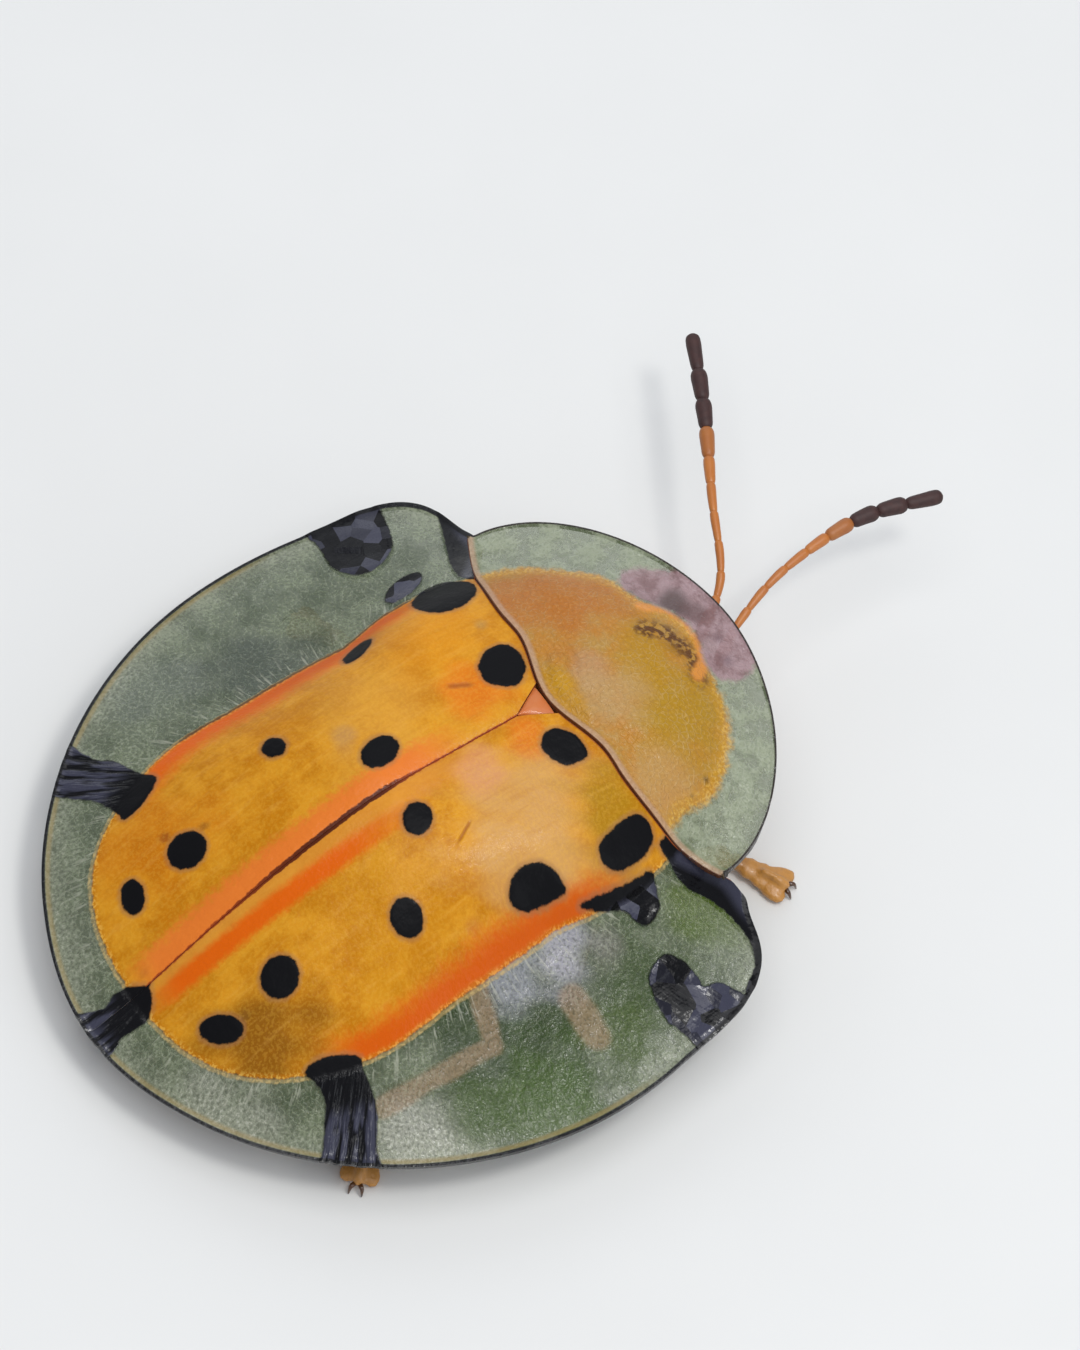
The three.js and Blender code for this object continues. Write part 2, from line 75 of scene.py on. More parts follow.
STANCE = {
    "front_right": [(2.55, 10.35, 0.98), (2.8, 11.8, 0.37), (3.8, 12.4, 0.16)],
    "middle_right": [(2.7, 8.9, 1.02), (3.3, 7.9, 0.37), (4.55, 7.75, 0.16)],
    "hind_right": [(3.95, 5.85, 1.02), (3.56, 3.75, 0.37), (4.6, 2.65, 0.16)],
    "front_left": [(2.5, 10.5, 0.98), (2.55, 11.7, 0.37), (3.4, 12.35, 0.16)],
    "middle_left": [(2.95, 9.05, 1.02), (4.2, 8.5, 0.37), (5.45, 7.9, 0.16)],
    "hind_left": [(3.45, 6.15, 1.02), (3.0, 4.3, 0.37), (3.75, 3.1, 0.16)],
}
# Radii along a limb, each with its share of the length
FEMUR_RADII = [(0, 0.15), (0.12, 0.2), (0.42, 0.3), (0.62, 0.3), (0.86, 0.22), (1, 0.19)]
TIBIA_RADII = [(0, 0.17), (0.1, 0.2), (0.25, 0.175), (0.6, 0.21), (0.9, 0.26), (1, 0.22)]
CLAW_JOINT_RADII = [(0, 0.06), (0.4, 0.07), (0.85, 0.1), (1, 0.08)]
COXA_HALF = Vector((0.44, 0.42, 0.42))
LIMB_BOW = Vector((0, 0, 0.06))
# Lobes of a foot: share of its length, step aside, half width, half length and half height
FOOT_LOBES = [(0.1, 0, 0.16, 0.18, 0.15), (0.3, 0, 0.21, 0.19, 0.14), (0.5, 0, 0.25, 0.2, 0.13),
              (0.76, 0.16, 0.18, 0.31, 0.12), (0.76, -0.16, 0.18, 0.31, 0.12)]
VOXEL = 0.05


def only(piece):
    """Leaves this piece alone selected, in object mode."""
    if bpy.context.object and bpy.context.object.mode != "OBJECT":
        bpy.ops.object.mode_set(mode="OBJECT")
    bpy.ops.object.select_all(action="DESELECT")
    piece.select_set(True)
    bpy.context.view_layer.objects.active = piece


def ball(name, segments=32, rings=24):
    bpy.ops.object.select_all(action="DESELECT")
    bpy.ops.mesh.primitive_uv_sphere_add(segments=segments, ring_count=rings, radius=1)
    bpy.context.object.name = name
    return bpy.context.object


def points_of(piece):
    flat = np.empty(len(piece.data.vertices) * 3)
    piece.data.vertices.foreach_get("co", flat)
    return flat.reshape(-1, 3)


def reshape(piece, form):
    """Moves every point of a piece to the place that the form gives it."""
    moved = np.stack(form(*points_of(piece).T), axis=1)
    piece.data.vertices.foreach_set("co", moved.ravel())
    piece.data.update()
    return piece


def smooth_step(low, high, value):
    """0 at low and 1 at high, with a soft step; low may be the larger."""
    share = np.clip((value - low) / (high - low), 0, 1)
    return share * share * (3 - 2 * share)


def curve_through(places, shares):
    """Points and directions at shares of a smooth curve through the places."""
    stops = np.array([list(place) for place in places])
    stops = np.vstack([2 * stops[0] - stops[1], stops, 2 * stops[-1] - stops[-2]])
    fine = []
    for k in range(1, len(stops) - 2):
        before, start, end, after = stops[k - 1:k + 3]
        for t in np.linspace(0, 1, 24, endpoint=False):
            fine.append(0.5 * (2 * start + (end - before) * t
                               + (2 * before - 5 * start + 4 * end - after) * t ** 2
                               + (3 * start - before - 3 * end + after) * t ** 3))
    fine = np.array(fine + [stops[-2]])
    steps = np.linalg.norm(np.diff(fine, axis=0), axis=1)
    gone = np.concatenate([[0], np.cumsum(steps)]) / steps.sum()

    def along(shares):
        return np.stack([np.interp(shares, gone, fine[:, axis]) for axis in range(3)], axis=1)
    ahead = along(np.clip(shares + 0.01, 0, 1)) - along(np.clip(shares - 0.01, 0, 1))
    return along(shares), ahead / np.linalg.norm(ahead, axis=1)[:, None], steps.sum()


def limb(name, places, radii, flat=1.0, segments=20, rings=36):
    """A ball drawn out along a curve. Radii are pairs of a share of the length and a radius."""
    def drawn(x, y, z):
        share = 1 - np.arccos(np.clip(z, -1, 1)) / np.pi
        turn = np.arctan2(y, x)
        middle, ahead, length = curve_through(places, share)
        side = np.cross(ahead, [0, 0, 1.0])
        side /= np.linalg.norm(side, axis=1)[:, None]
        above = np.cross(side, ahead)
        radius = np.interp(share, *zip(*radii))
        cap = np.clip(np.minimum(share, 1 - share) * length / (radius + 1e-6), 0, 1)
        radius = radius * np.sqrt(1 - (1 - cap) ** 2)
        aside = side * (radius * np.cos(turn))[:, None]
        upwards = above * (radius * flat * np.sin(turn))[:, None]
        return (middle + (aside + upwards)).T
    return reshape(ball(name, segments, rings), drawn)


def trunk_length(name, rear, front, half, roof, square):
    """A length of the trunk: a ball squared off, flat below and domed above."""
    middle, reach = (rear + front) / 2, (front - rear) / 2

    def swell(value):
        return np.sign(value) * np.abs(value) ** square

    def formed(x, y, z):
        along = middle - swell(y) * reach
        behind = np.clip((middle - along) / reach, 0, 1) if name == "abdomen" else 0
        across = swell(x) * half * (1 - 0.5 * behind ** 3)
        upper = (roof - ABDOMEN_DROOP * behind ** 2) - 0.1 * across ** 2
        flank = BELLY + BELLY_DEPTH
        up = np.where(z > 0, flank + (upper - flank) * z ** 0.8,
                      BELLY + BELLY_DEPTH * (1 - np.abs(z) ** 0.7) + 0.04 * np.abs(across))
        return across, TIP - along, up
    return reshape(ball(name, 64, 48), formed)


def joined(pieces, name):
    only(pieces[0])
    for piece in pieces:
        piece.select_set(True)
    bpy.ops.object.join()
    pieces[0].name = name
    return pieces[0]


def fused(pieces, name, voxel, smoothing):
    """Joins the pieces into one closed skin, and smooths where they meet."""
    whole = joined(pieces, name)
    remesh = whole.modifiers.new("fuse", "REMESH")
    remesh.mode = "VOXEL"
    remesh.voxel_size = voxel
    smooth = whole.modifiers.new("smooth", "SMOOTH")
    smooth.factor = 0.5
    smooth.iterations = smoothing
    only(whole)
    bpy.ops.object.modifier_apply(modifier="fuse")
    bpy.ops.object.modifier_apply(modifier="smooth")
    return whole


def life_size(piece, finish, slot, *nodes):
    """Shrinks a finished piece to life size, dresses it, and sets it on the frame."""
    only(piece)
    piece.data.transform(Matrix.Scale(MM, 4))
    piece.data.materials.clear()
    piece.data.materials.append(finish)
    bpy.ops.object.shade_smooth_by_angle(angle=math.radians(50))
    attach(piece, "root")
    if nodes:
        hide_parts(*nodes)
    return piece


def head_form(x, y, z):
    brow = 1 - 0.12 * np.clip(z, 0, 1) * np.clip(-y, 0, 1)
    jaw = 1 - 0.3 * np.clip(-z, 0, 1) ** 2
    return (HEAD_AT.x + x * HEAD_HALF.x * jaw, HEAD_AT.y + y * HEAD_HALF.y * brow,
            HEAD_AT.z + z * HEAD_HALF.z)


flesh = [trunk_length(**length) for length in TRUNK]
flesh.append(reshape(ball("head", 48, 32), head_form))
LEG_NODES = []
leg_lines = []
feet = {}
for leg, stations in STANCE.items():
    pair, side_name = leg.split("_")
    side = 1 if side_name == "left" else -1
    hip, knee, ankle, toe = [spot(side * x, y, z) for x, y, z in [HIPS[pair], *stations]]
    socket = spot(side * (HIPS[pair][0] - 0.5), HIPS[pair][1], 1.3)
    LEG_NODES += [f"{leg}_femur", f"{leg}_tibia", f"{leg}_tarsus"]
    leg_lines += [(hip, knee), (knee, ankle), (ankle, toe)]
    coxa = reshape(ball("coxa", 24, 16), lambda x, y, z: (
        socket.x + x * COXA_HALF.x, socket.y + y * COXA_HALF.y, socket.z + z * COXA_HALF.z))
    trochanter = limb("trochanter", [socket.lerp(hip, 0.5), hip.lerp(knee, 0.12)],
                      [(0, 0.2), (1, 0.19)])
    femur = limb("femur", [hip, hip.lerp(knee, 0.5) + LIMB_BOW, knee], FEMUR_RADII, 0.86)
    tibia = limb("tibia", [knee, knee.lerp(ankle, 0.5) + LIMB_BOW, ankle], TIBIA_RADII, 0.84)
    flesh += [coxa, trochanter, femur, tibia]
    forward = toe - ankle
    forward.z = 0
    forward.normalize()
    sideways = forward.cross(Vector((0, 0, 1)))

    def pad(share, off, half, length, height):
        centre = ankle.lerp(toe, share) + sideways * off
        centre.z = max(GROUND + height * 0.8, centre.z - 0.08)
        splayed = forward + sideways * off * 1.2

        def heart_shaped(x, y, z):
            wide = x * half * (1 + 0.25 * y)
            return (centre.x + sideways.x * wide + splayed.x * y * length,
                    centre.y + sideways.y * wide + splayed.y * y * length,
                    np.maximum(GROUND, centre.z + z * height * (1 - 0.15 * y)))
        return reshape(ball("pad", 24, 16), heart_shaped)
    flesh += [pad(*lobe) for lobe in FOOT_LOBES]
    wrist = ankle.lerp(toe, 0.5) + Vector((0, 0, 0.1))
    flesh.append(limb("claw_joint", [wrist, ankle.lerp(toe, 0.8) + Vector((0, 0, 0.12)), toe],
                      CLAW_JOINT_RADII))
    feet[leg] = (toe, forward, sideways)

skin = fused(flesh, "body", VOXEL, 4)

# Hind edges of the plates below the abdomen, each with a groove behind its ridge, and the
# sutures of the thorax
STERNITES = [2.75, 3.4, 4.1, 4.85, 5.65, 6.45]
PLATE_RIDGE, PLATE_GROOVE = 0.08, 0.05
THORAX_SUTURES = [8.15, 9.3]
SUTURE_RIDGE, MIDDLE_RIDGE = 0.07, 0.06


def scored(x, y, z):
    """Overlapping plates and sutures, raised on the underside."""
    along = TIP - y
    below = smooth_step(BELLY + 0.75, BELLY + 0.3, z) * (np.abs(x) < 2.9) * (z > 0.95)
    lift = np.zeros_like(z)
    for edge in STERNITES:
        lift += PLATE_RIDGE * np.exp(-((along - edge) / 0.07) ** 2)
        lift -= PLATE_GROOVE * np.exp(-((along - edge - 0.16) / 0.1) ** 2)
    for edge in THORAX_SUTURES:
        lift += SUTURE_RIDGE * np.exp(-((along - edge - 0.05 * np.abs(x)) / 0.06) ** 2)
    middle = np.exp(-(x / 0.06) ** 2) * smooth_step(6.5, 6.7, along) * smooth_step(8.1, 7.9, along)
    lift += MIDDLE_RIDGE * middle
    return x, y, z + lift * below


reshape(skin, scored)


def attribute(piece, name, values):
    """Keeps a number for every point of the piece, for its finish to read."""
    layer = piece.data.attributes.new(name, "FLOAT", "POINT")
    layer.data.foreach_set("value", np.asarray(values, np.float32))


def distance_to_line(points, start, end):
    """How far each point is from a straight line, and its share of the line's length."""
    start, end = np.array(start), np.array(end)
    gone = np.clip((points - start) @ (end - start) / ((end - start) @ (end - start)), 0, 1)
    return np.linalg.norm(points - start - gone[:, None] * (end - start), axis=1), gone


# Where the skin is limb, knuckle, foot or face, by how near they are
FAR = 9.0
skin_points = points_of(skin)
limb_near, knuckle, foot = [np.full(len(skin_points), FAR) for _ in range(3)]
for number, (start, end) in enumerate(leg_lines):
    near, _ = distance_to_line(skin_points, start, end)
    limb_near = np.minimum(limb_near, near)
    knuckle = np.minimum(knuckle, np.linalg.norm(skin_points - np.array(start), axis=1))
    if number % 3 == 2:
        foot = np.minimum(foot, near)
attribute(skin, "limb", smooth_step(0.6, 0.42, limb_near))
attribute(skin, "knuckle", smooth_step(0.42, 0.16, knuckle))
attribute(skin, "foot", smooth_step(0.6, 0.4, foot))
from_head = np.linalg.norm(skin_points - np.array(HEAD_AT), axis=1)
attribute(skin, "face", smooth_step(1.35, 1.0, from_head))


def add(tree, kind, sockets=None, **settings):
    """A node with its settings, and its sockets linked or set."""
    made = tree.nodes.new(kind)
    for key, value in settings.items():
        setattr(made, key, value)
    for key, value in (sockets or {}).items():
        if isinstance(value, bpy.types.NodeSocket):
            tree.links.new(value, made.inputs[key])
        else:
            made.inputs[key].default_value = value
    return made


def new_finish(name):
    finish = bpy.data.materials.new(name)
    finish.use_nodes = True
    tree = finish.node_tree
    return finish, tree, tree.nodes["Principled BSDF"]


def millimetres(tree):
    """The place on the piece, in millimetres."""
    place = add(tree, "ShaderNodeTexCoord")
    return add(tree, "ShaderNodeMapping", {0: place.outputs["Object"], 3: (1 / MM,) * 3}).outputs[0]


def noise(tree, place, scale, detail=3, rough=0.5):
    made = add(tree, "ShaderNodeTexNoise", {"Vector": place, "Scale": scale, "Detail": detail,
                                            "Roughness": rough})
    return made.outputs["Fac"]


def calc(tree, operation, first, second=0.0, third=0.0):
    made = add(tree, "ShaderNodeMath", {0: first, 1: second, 2: third}, operation=operation)
    return made.outputs[0]


def times(tree, *shares):
    """The shares multiplied together."""
    product = shares[0]
    for share in shares[1:]:
        product = calc(tree, "MULTIPLY", product, share)
    return product


def between(tree, value, low, high):
    """The same soft step as a node."""
    made = add(tree, "ShaderNodeMapRange", {0: value, 1: low, 2: high, 3: 0.0, 4: 1.0},
               interpolation_type="SMOOTHSTEP")
    return made.outputs[0]


def mix(tree, share, first, second):
    """One colour that gives way to another by a share."""
    made = add(tree, "ShaderNodeMix", {0: share, 6: first, 7: second}, data_type="RGBA")
    return made.outputs[2]


def blend(tree, share, first, second):
    """One number that gives way to another by a share."""
    made = add(tree, "ShaderNodeMix", {0: share, 2: first, 3: second}, data_type="FLOAT")
    return made.outputs[0]


def painted(tree, name):
    """A number that the piece keeps for its points."""
    return add(tree, "ShaderNodeAttribute", attribute_name=name).outputs["Fac"]


def colour(red, green, blue):
    return (red, green, blue, 1.0)


chitin, tree, surface = new_finish("chitin")
place = millimetres(tree)
plates = mix(tree, noise(tree, place, 1.6), colour(0.34, 0.14, 0.035), colour(0.5, 0.24, 0.07))
plates = mix(tree, painted(tree, "face"), plates, colour(0.42, 0.2, 0.16))
legs_tone = mix(tree, noise(tree, place, 2.5), colour(0.6, 0.31, 0.12), colour(0.74, 0.46, 0.22))
tone = mix(tree, painted(tree, "limb"), plates, legs_tone)
tone = mix(tree, painted(tree, "foot"), tone, colour(0.56, 0.26, 0.055))
joints_share = times(tree, painted(tree, "knuckle"), 0.55)
tone = mix(tree, joints_share, tone, colour(0.2, 0.075, 0.018))
tone = mix(tree, times(tree, noise(tree, place, 14, 3), 0.28), tone, colour(0.24, 0.1, 0.025))
pits = add(tree, "ShaderNodeTexVoronoi", {"Vector": place, "Scale": 7.0}, feature="F1")
pits = between(tree, pits.outputs["Distance"], 0.1, 0.35)
grain = calc(tree, "MULTIPLY_ADD", pits, 0.5, noise(tree, place, 18, 4))
bump = add(tree, "ShaderNodeBump", {"Strength": 0.6, "Distance": 0.02 * MM, "Height": grain})
tree.links.new(tone, surface.inputs["Base Color"])
tree.links.new(blend(tree, noise(tree, place, 6), 0.32, 0.5), surface.inputs["Roughness"])
tree.links.new(bump.outputs[0], surface.inputs["Normal"])
surface.inputs["Coat Weight"].default_value = 0.25
surface.inputs["Coat Roughness"].default_value = 0.2
life_size(skin, chitin, "body", "abdomen", "thorax", "prothorax", "head", *LEG_NODES)

# CLAWS
# Two hooked claws of dark horn end each foot. They are drawn out to a point from a ball,
# and sit in the last joint of the foot.
CLAW_RADII = [(0, 0.05), (0.3, 0.045), (0.8, 0.02), (1, 0.006)]
horn, tree, surface = new_finish("horn")
place = millimetres(tree)
tone = mix(tree, noise(tree, place, 8), colour(0.03, 0.012, 0.006), colour(0.12, 0.045, 0.012))
tree.links.new(tone, surface.inputs["Base Color"])
tree.links.new(blend(tree, noise(tree, place, 20), 0.2, 0.35), surface.inputs["Roughness"])
surface.inputs["Coat Weight"].default_value = 0.4
for leg, (toe, forward, sideways) in feet.items():
    claws = []
    for side in (1, -1):
        root = toe - forward * 0.08 + sideways * side * 0.03
        bend = toe + forward * 0.04 + sideways * side * 0.1 + Vector((0, 0, 0.02))
        tip = toe + forward * 0.11 + sideways * side * 0.12 - Vector((0, 0, toe.z - 0.015))
        claws.append(limb("claw", [root, bend, tip], CLAW_RADII, 1.0, 12, 20))
    life_size(joined(claws, f"{leg}_claws"), horn, "leg")

# EYES
# Each eye is a dark, glossy bean of fine facets, set into the side of the head. A ball is drawn
# out to the size of the solid eye, and notched in front where the feeler is rooted.
eye_finish, tree, surface = new_finish("eye_facets")
place = millimetres(tree)
cells = add(tree, "ShaderNodeTexVoronoi", {"Vector": place, "Scale": 26.0},
            feature="DISTANCE_TO_EDGE")
facet = between(tree, cells.outputs["Distance"], 0.0, 0.16)
tone = mix(tree, facet, colour(0.02, 0.008, 0.006), colour(0.045, 0.016, 0.014))
bump = add(tree, "ShaderNodeBump", {"Strength": 0.7, "Distance": 0.006 * MM, "Height": facet})
tree.links.new(tone, surface.inputs["Base Color"])
tree.links.new(bump.outputs[0], surface.inputs["Normal"])
surface.inputs["Roughness"].default_value = 0.16
surface.inputs["Coat Weight"].default_value = 0.8
for side, name in ((1, "eye_left"), (-1, "eye_right")):
    low, high = [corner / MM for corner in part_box(name)]
    centre, half = (low + high) / 2, (high - low) / 2

    def bean(x, y, z):
        notch = 1 - 0.22 * np.exp(-((z - 0.05) / 0.35) ** 2) * np.clip(-y, 0, 1)
        return (centre.x + x * half.x, centre.y + y * half.y * notch, centre.z + z * half.z)
    eye = reshape(ball(name + "_facets", 48, 32), bean)
    life_size(eye, eye_finish, "eye", name)

# MOUTH
# A lip over two dark jaws, with a jointed palp on each side, hangs below the face. The lip and
# the palps are one skin of the same plates as the body, and the jaws are horn.
LIP_HALF = Vector((0.5, 0.32, 0.34))
PALP_RADII = [(0, 0.06), (0.7, 0.085), (1, 0.06)]
PALP_TIP_RADII = [(0, 0.06), (0.5, 0.07), (1, 0.03)]
JAW_RADII = [(0, 0.1), (0.5, 0.09), (1, 0.02)]
mouth_low, mouth_high = [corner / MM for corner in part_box("mouthparts")]
mouth = (mouth_low + mouth_high) / 2
lip_at = Vector((HEAD_AT.x, mouth.y + 0.2, mouth_high.z - 0.16))
lip = reshape(ball("lip", 32, 20), lambda x, y, z: (
    lip_at.x + x * LIP_HALF.x, lip_at.y + y * LIP_HALF.y - 0.04,
    lip_at.z + z * LIP_HALF.z - 0.06 * x ** 2))
mouth_pieces = [lip]
for side in (1, -1):
    root = lip_at + Vector((side * 0.3, 0.1, -0.1))
    joints = [root, root + Vector((side * 0.12, 0.0, -0.18)),
              root + Vector((side * 0.18, -0.12, -0.34))]
    for start, end in zip(joints, joints[1:]):
        mouth_pieces.append(limb("palp", [start, end], PALP_RADII, 1, 16, 16))
    end = joints[-1] + Vector((side * 0.03, -0.08, -0.12))
    mouth_pieces.append(limb("palp_tip", [joints[-1], end], PALP_TIP_RADII, 1, 16, 16))
mouth_skin = fused(mouth_pieces, "lip_and_palps", 0.03, 3)
attribute(mouth_skin, "limb", np.ones(len(mouth_skin.data.vertices)))
for name in ("knuckle", "foot", "face"):
    attribute(mouth_skin, name, np.zeros(len(mouth_skin.data.vertices)))
life_size(mouth_skin, chitin, "leg", "mouthparts")
jaws = []
for side in (1, -1):
    root = lip_at + Vector((side * 0.26, 0.0, -0.12))
    jaws.append(limb("jaw", [root, root + Vector((-side * 0.02, -0.12, -0.16)),
                             root + Vector((-side * 0.2, -0.12, -0.26))], JAW_RADII, 0.8, 16, 20))
life_size(joined(jaws, "jaws"), horn, "leg")

# FEELERS
# Eleven joints each, rusty orange with a dark, downy club of the last joints. The joints are
# drawn out along the same curves as the solids' feelers, and the first sits in the forehead.
FEELER_LINES = {
    "antenna_left": [(0.42, 13.12, 1.98), (1.0, 13.95, 2.06), (1.5, 14.35, 2.2), (2.5, 14.85, 2.35),
                     (4.05, 15.75, 2.35), (5.6, 16.55, 2.25)],
    "antenna_right": [(-0.16, 13.12, 1.98), (0.35, 14.0, 2.06), (0.7, 15.2, 2.3), (0.82, 16.9, 2.35),
                      (0.46, 18.5, 2.25)],
}
# Where each joint ends, as a share of the length, and how thick it is
JOINT_ENDS = [0, 0.105, 0.155, 0.23, 0.32, 0.41, 0.5, 0.585, 0.68, 0.775, 0.875, 1]
JOINT_HALF = [0.12, 0.09, 0.082, 0.08, 0.082, 0.088, 0.108, 0.14, 0.152, 0.155, 0.14]
rust, tree, surface = new_finish("feeler_rust")
place = millimetres(tree)
shaft = mix(tree, noise(tree, place, 5), colour(0.42, 0.12, 0.02), colour(0.55, 0.2, 0.04))
club = mix(tree, noise(tree, place, 9), colour(0.02, 0.008, 0.008), colour(0.07, 0.025, 0.02))
tone = mix(tree, painted(tree, "club"), shaft, club)
down = noise(tree, place, 40, 2)
bump = add(tree, "ShaderNodeBump", {"Strength": 0.5, "Distance": 0.01 * MM, "Height": down})
tree.links.new(tone, surface.inputs["Base Color"])
tree.links.new(blend(tree, painted(tree, "club"), 0.38, 0.6), surface.inputs["Roughness"])
tree.links.new(bump.outputs[0], surface.inputs["Normal"])
for name, stations in FEELER_LINES.items():
    places = [spot(*station) for station in stations]
    beads = []
    shades = []
    for k, (start, end) in enumerate(zip(JOINT_ENDS, JOINT_ENDS[1:])):
        shares = np.linspace(start - 0.008, end + 0.004, 5).clip(0, 1)
        curve, _, _ = curve_through(places, shares)
        half = JOINT_HALF[k]
        tip = 0.45 if k == len(JOINT_HALF) - 1 else 0.8
        swelling = [(0, 0.68), (0.2, 0.86), (0.7, 1), (0.92, 0.95), (1, tip)]
        bead = limb("bead", curve, [(share, half * part) for share, part in swelling], 1, 18, 22)
        beads.append(bead)
        shades += [float(smooth_step(0.6, 0.7, (start + end) / 2))] * len(bead.data.vertices)
    feeler = joined(beads, name + "_joints")
    attribute(feeler, "club", shades)
    life_size(feeler, rust, "feeler", name)

# WING CASES
# Two hard covers, each a domed golden disc inside a wide, clear, glassy margin with a dark rim.
# A grid is laid out on rays from the top of the dome, given its wall, and painted by its marks.
RIM_UP = 1.35
PEAK = 2.87
HUB = 6.12
TIP_DROP = 0.3
SHOULDER_LIFT = 1.02
MARGIN_CURVE = 1.15
# By the angle from straight out: rim radius, disc radius, height of its edge, fullness
FORM = np.array([
    (-90, 6.12, 5.17, 0.12, 1.45), (-65, 5.97, 5.13, 0.38, 1.4), (-40, 5.9, 4.37, 0.72, 1.7),
    (-12, 6.05, 3.48, 1.12, 2.5), (20, 6.52, 3.52, 1.34, 4), (34, 6.97, 4.13, 1.48, 4.3),
    (40, 6.92, 4.45, 1.54, 4.4), (48, 6.46, 4.9, 1.6, 4.2), (65, 6.6, 5.7, 1.85, 4), (90, 7.5, 7, 2.2, 4),
])
WALL = 0.13
SEAM = 0.004
COLLAR_HALF = 3.95
LOBE_AHEAD = 0.48
BASE_GAP = 0.012
SHIELD = {"tip": 8.78, "base": 9.38, "half": 0.32}
GRID_ROWS = {"round": 280, "out": 120}
# Share of the rows outwards that lie on the disc
DISC_ROWS = 0.6
# The corner of each front lobe is rounded between these angles, over this many rays
LOBE_RAYS = 93
LOBE_FROM, LOBE_TO = (27, 33), (52, 46)
# How high the marks, the seam, the rim and the folds stand up
MARK_LIFT, SEAM_RIDGE, SEAM_GROOVE, RIM_LIP = 0.018, 0.02, 0.03, 0.03
BAND_FOLDS, PATCH_CRUMPLE, MARGIN_WAVER = 0.016, 0.03, 0.008


def form_at(turn):
    """The measures of FORM at any angle, run smoothly from row to row."""
    low = np.clip(np.searchsorted(FORM[:, 0], turn) - 1, 0, len(FORM) - 2)
    before, after = np.maximum(low - 1, 0), np.minimum(low + 2, len(FORM) - 1)
    start, end = FORM[low], FORM[low + 1]
    span = (end - start)[:, :1]
    t = (turn[:, None] - start[:, :1]) / span
    slope_in = (end - FORM[before]) / (end - FORM[before])[:, :1] * span * (low > 0)[:, None]
    slope_out = (FORM[after] - start) / (FORM[after] - start)[:, :1] * span
    slope_out = slope_out * (low < len(FORM) - 2)[:, None]
    rows = ((2 * t ** 3 - 3 * t ** 2 + 1) * start + (t ** 3 - 2 * t ** 2 + t) * slope_in
            + (3 * t ** 2 - 2 * t ** 3) * end + (t ** 3 - t ** 2) * slope_out)
    return rows[:, 1:].T


def wing_top(across, along):
    """Height of the upper side of the wing cases."""
    out = np.abs(across)
    turn = np.arctan2(along - HUB, out)
    reach = np.hypot(out, along - HUB)
    rim, disc, edge, full = form_at(np.degrees(turn))
    ahead = rim * np.sin(turn) / 6
    low = np.where(ahead < 0, -TIP_DROP, SHOULDER_LIFT) * ahead ** 2
    past = np.clip((reach - disc) / (rim - disc), 0, 1)
    dome = edge + (PEAK - edge) * (1 - np.clip(reach / disc, 0, 1) ** full)
    return RIM_UP + np.where(reach < disc, dome, low + (edge - low) * (1 - past) ** MARGIN_CURVE)


def hind_edge(across):
    """Hind edge of the collar, which the bases of the wing cases follow."""
    out = np.minimum(COLLAR_HALF, np.abs(across))
    wing = np.maximum(0, out - 1.8) / (COLLAR_HALF - 1.8)
    return 9.38 + 0.36 * smooth_step(0, 1.5, out) + 0.75 * wing ** 1.6


def wing_limit(across, ahead=LOBE_AHEAD):
    """How far forward a wing case goes: to the collar, and round the scutellum's notch."""
    base = hind_edge(across) - BASE_GAP + ahead * smooth_step(3.0, 4.2, across)
    notch = (SHIELD["base"] - SHIELD["tip"]) / SHIELD["half"]
    return np.minimum(base, SHIELD["tip"] - BASE_GAP + notch * np.maximum(0, across - SEAM))


def wing_reach(turn, ahead=LOBE_AHEAD):
    """How far out a wing case goes at each angle, to its rim or its limit."""
    rim = form_at(np.degrees(turn))[0]
    low, high = np.zeros_like(rim), rim.copy()
    inside = HUB + rim * np.sin(turn) <= wing_limit(rim * np.cos(turn), ahead)
    for _ in range(30):
        reach = (low + high) / 2
        short = HUB + reach * np.sin(turn) <= wing_limit(reach * np.cos(turn), ahead)
        low, high = np.where(short, reach, low), np.where(short, high, reach)
    return np.where(inside, rim, low)


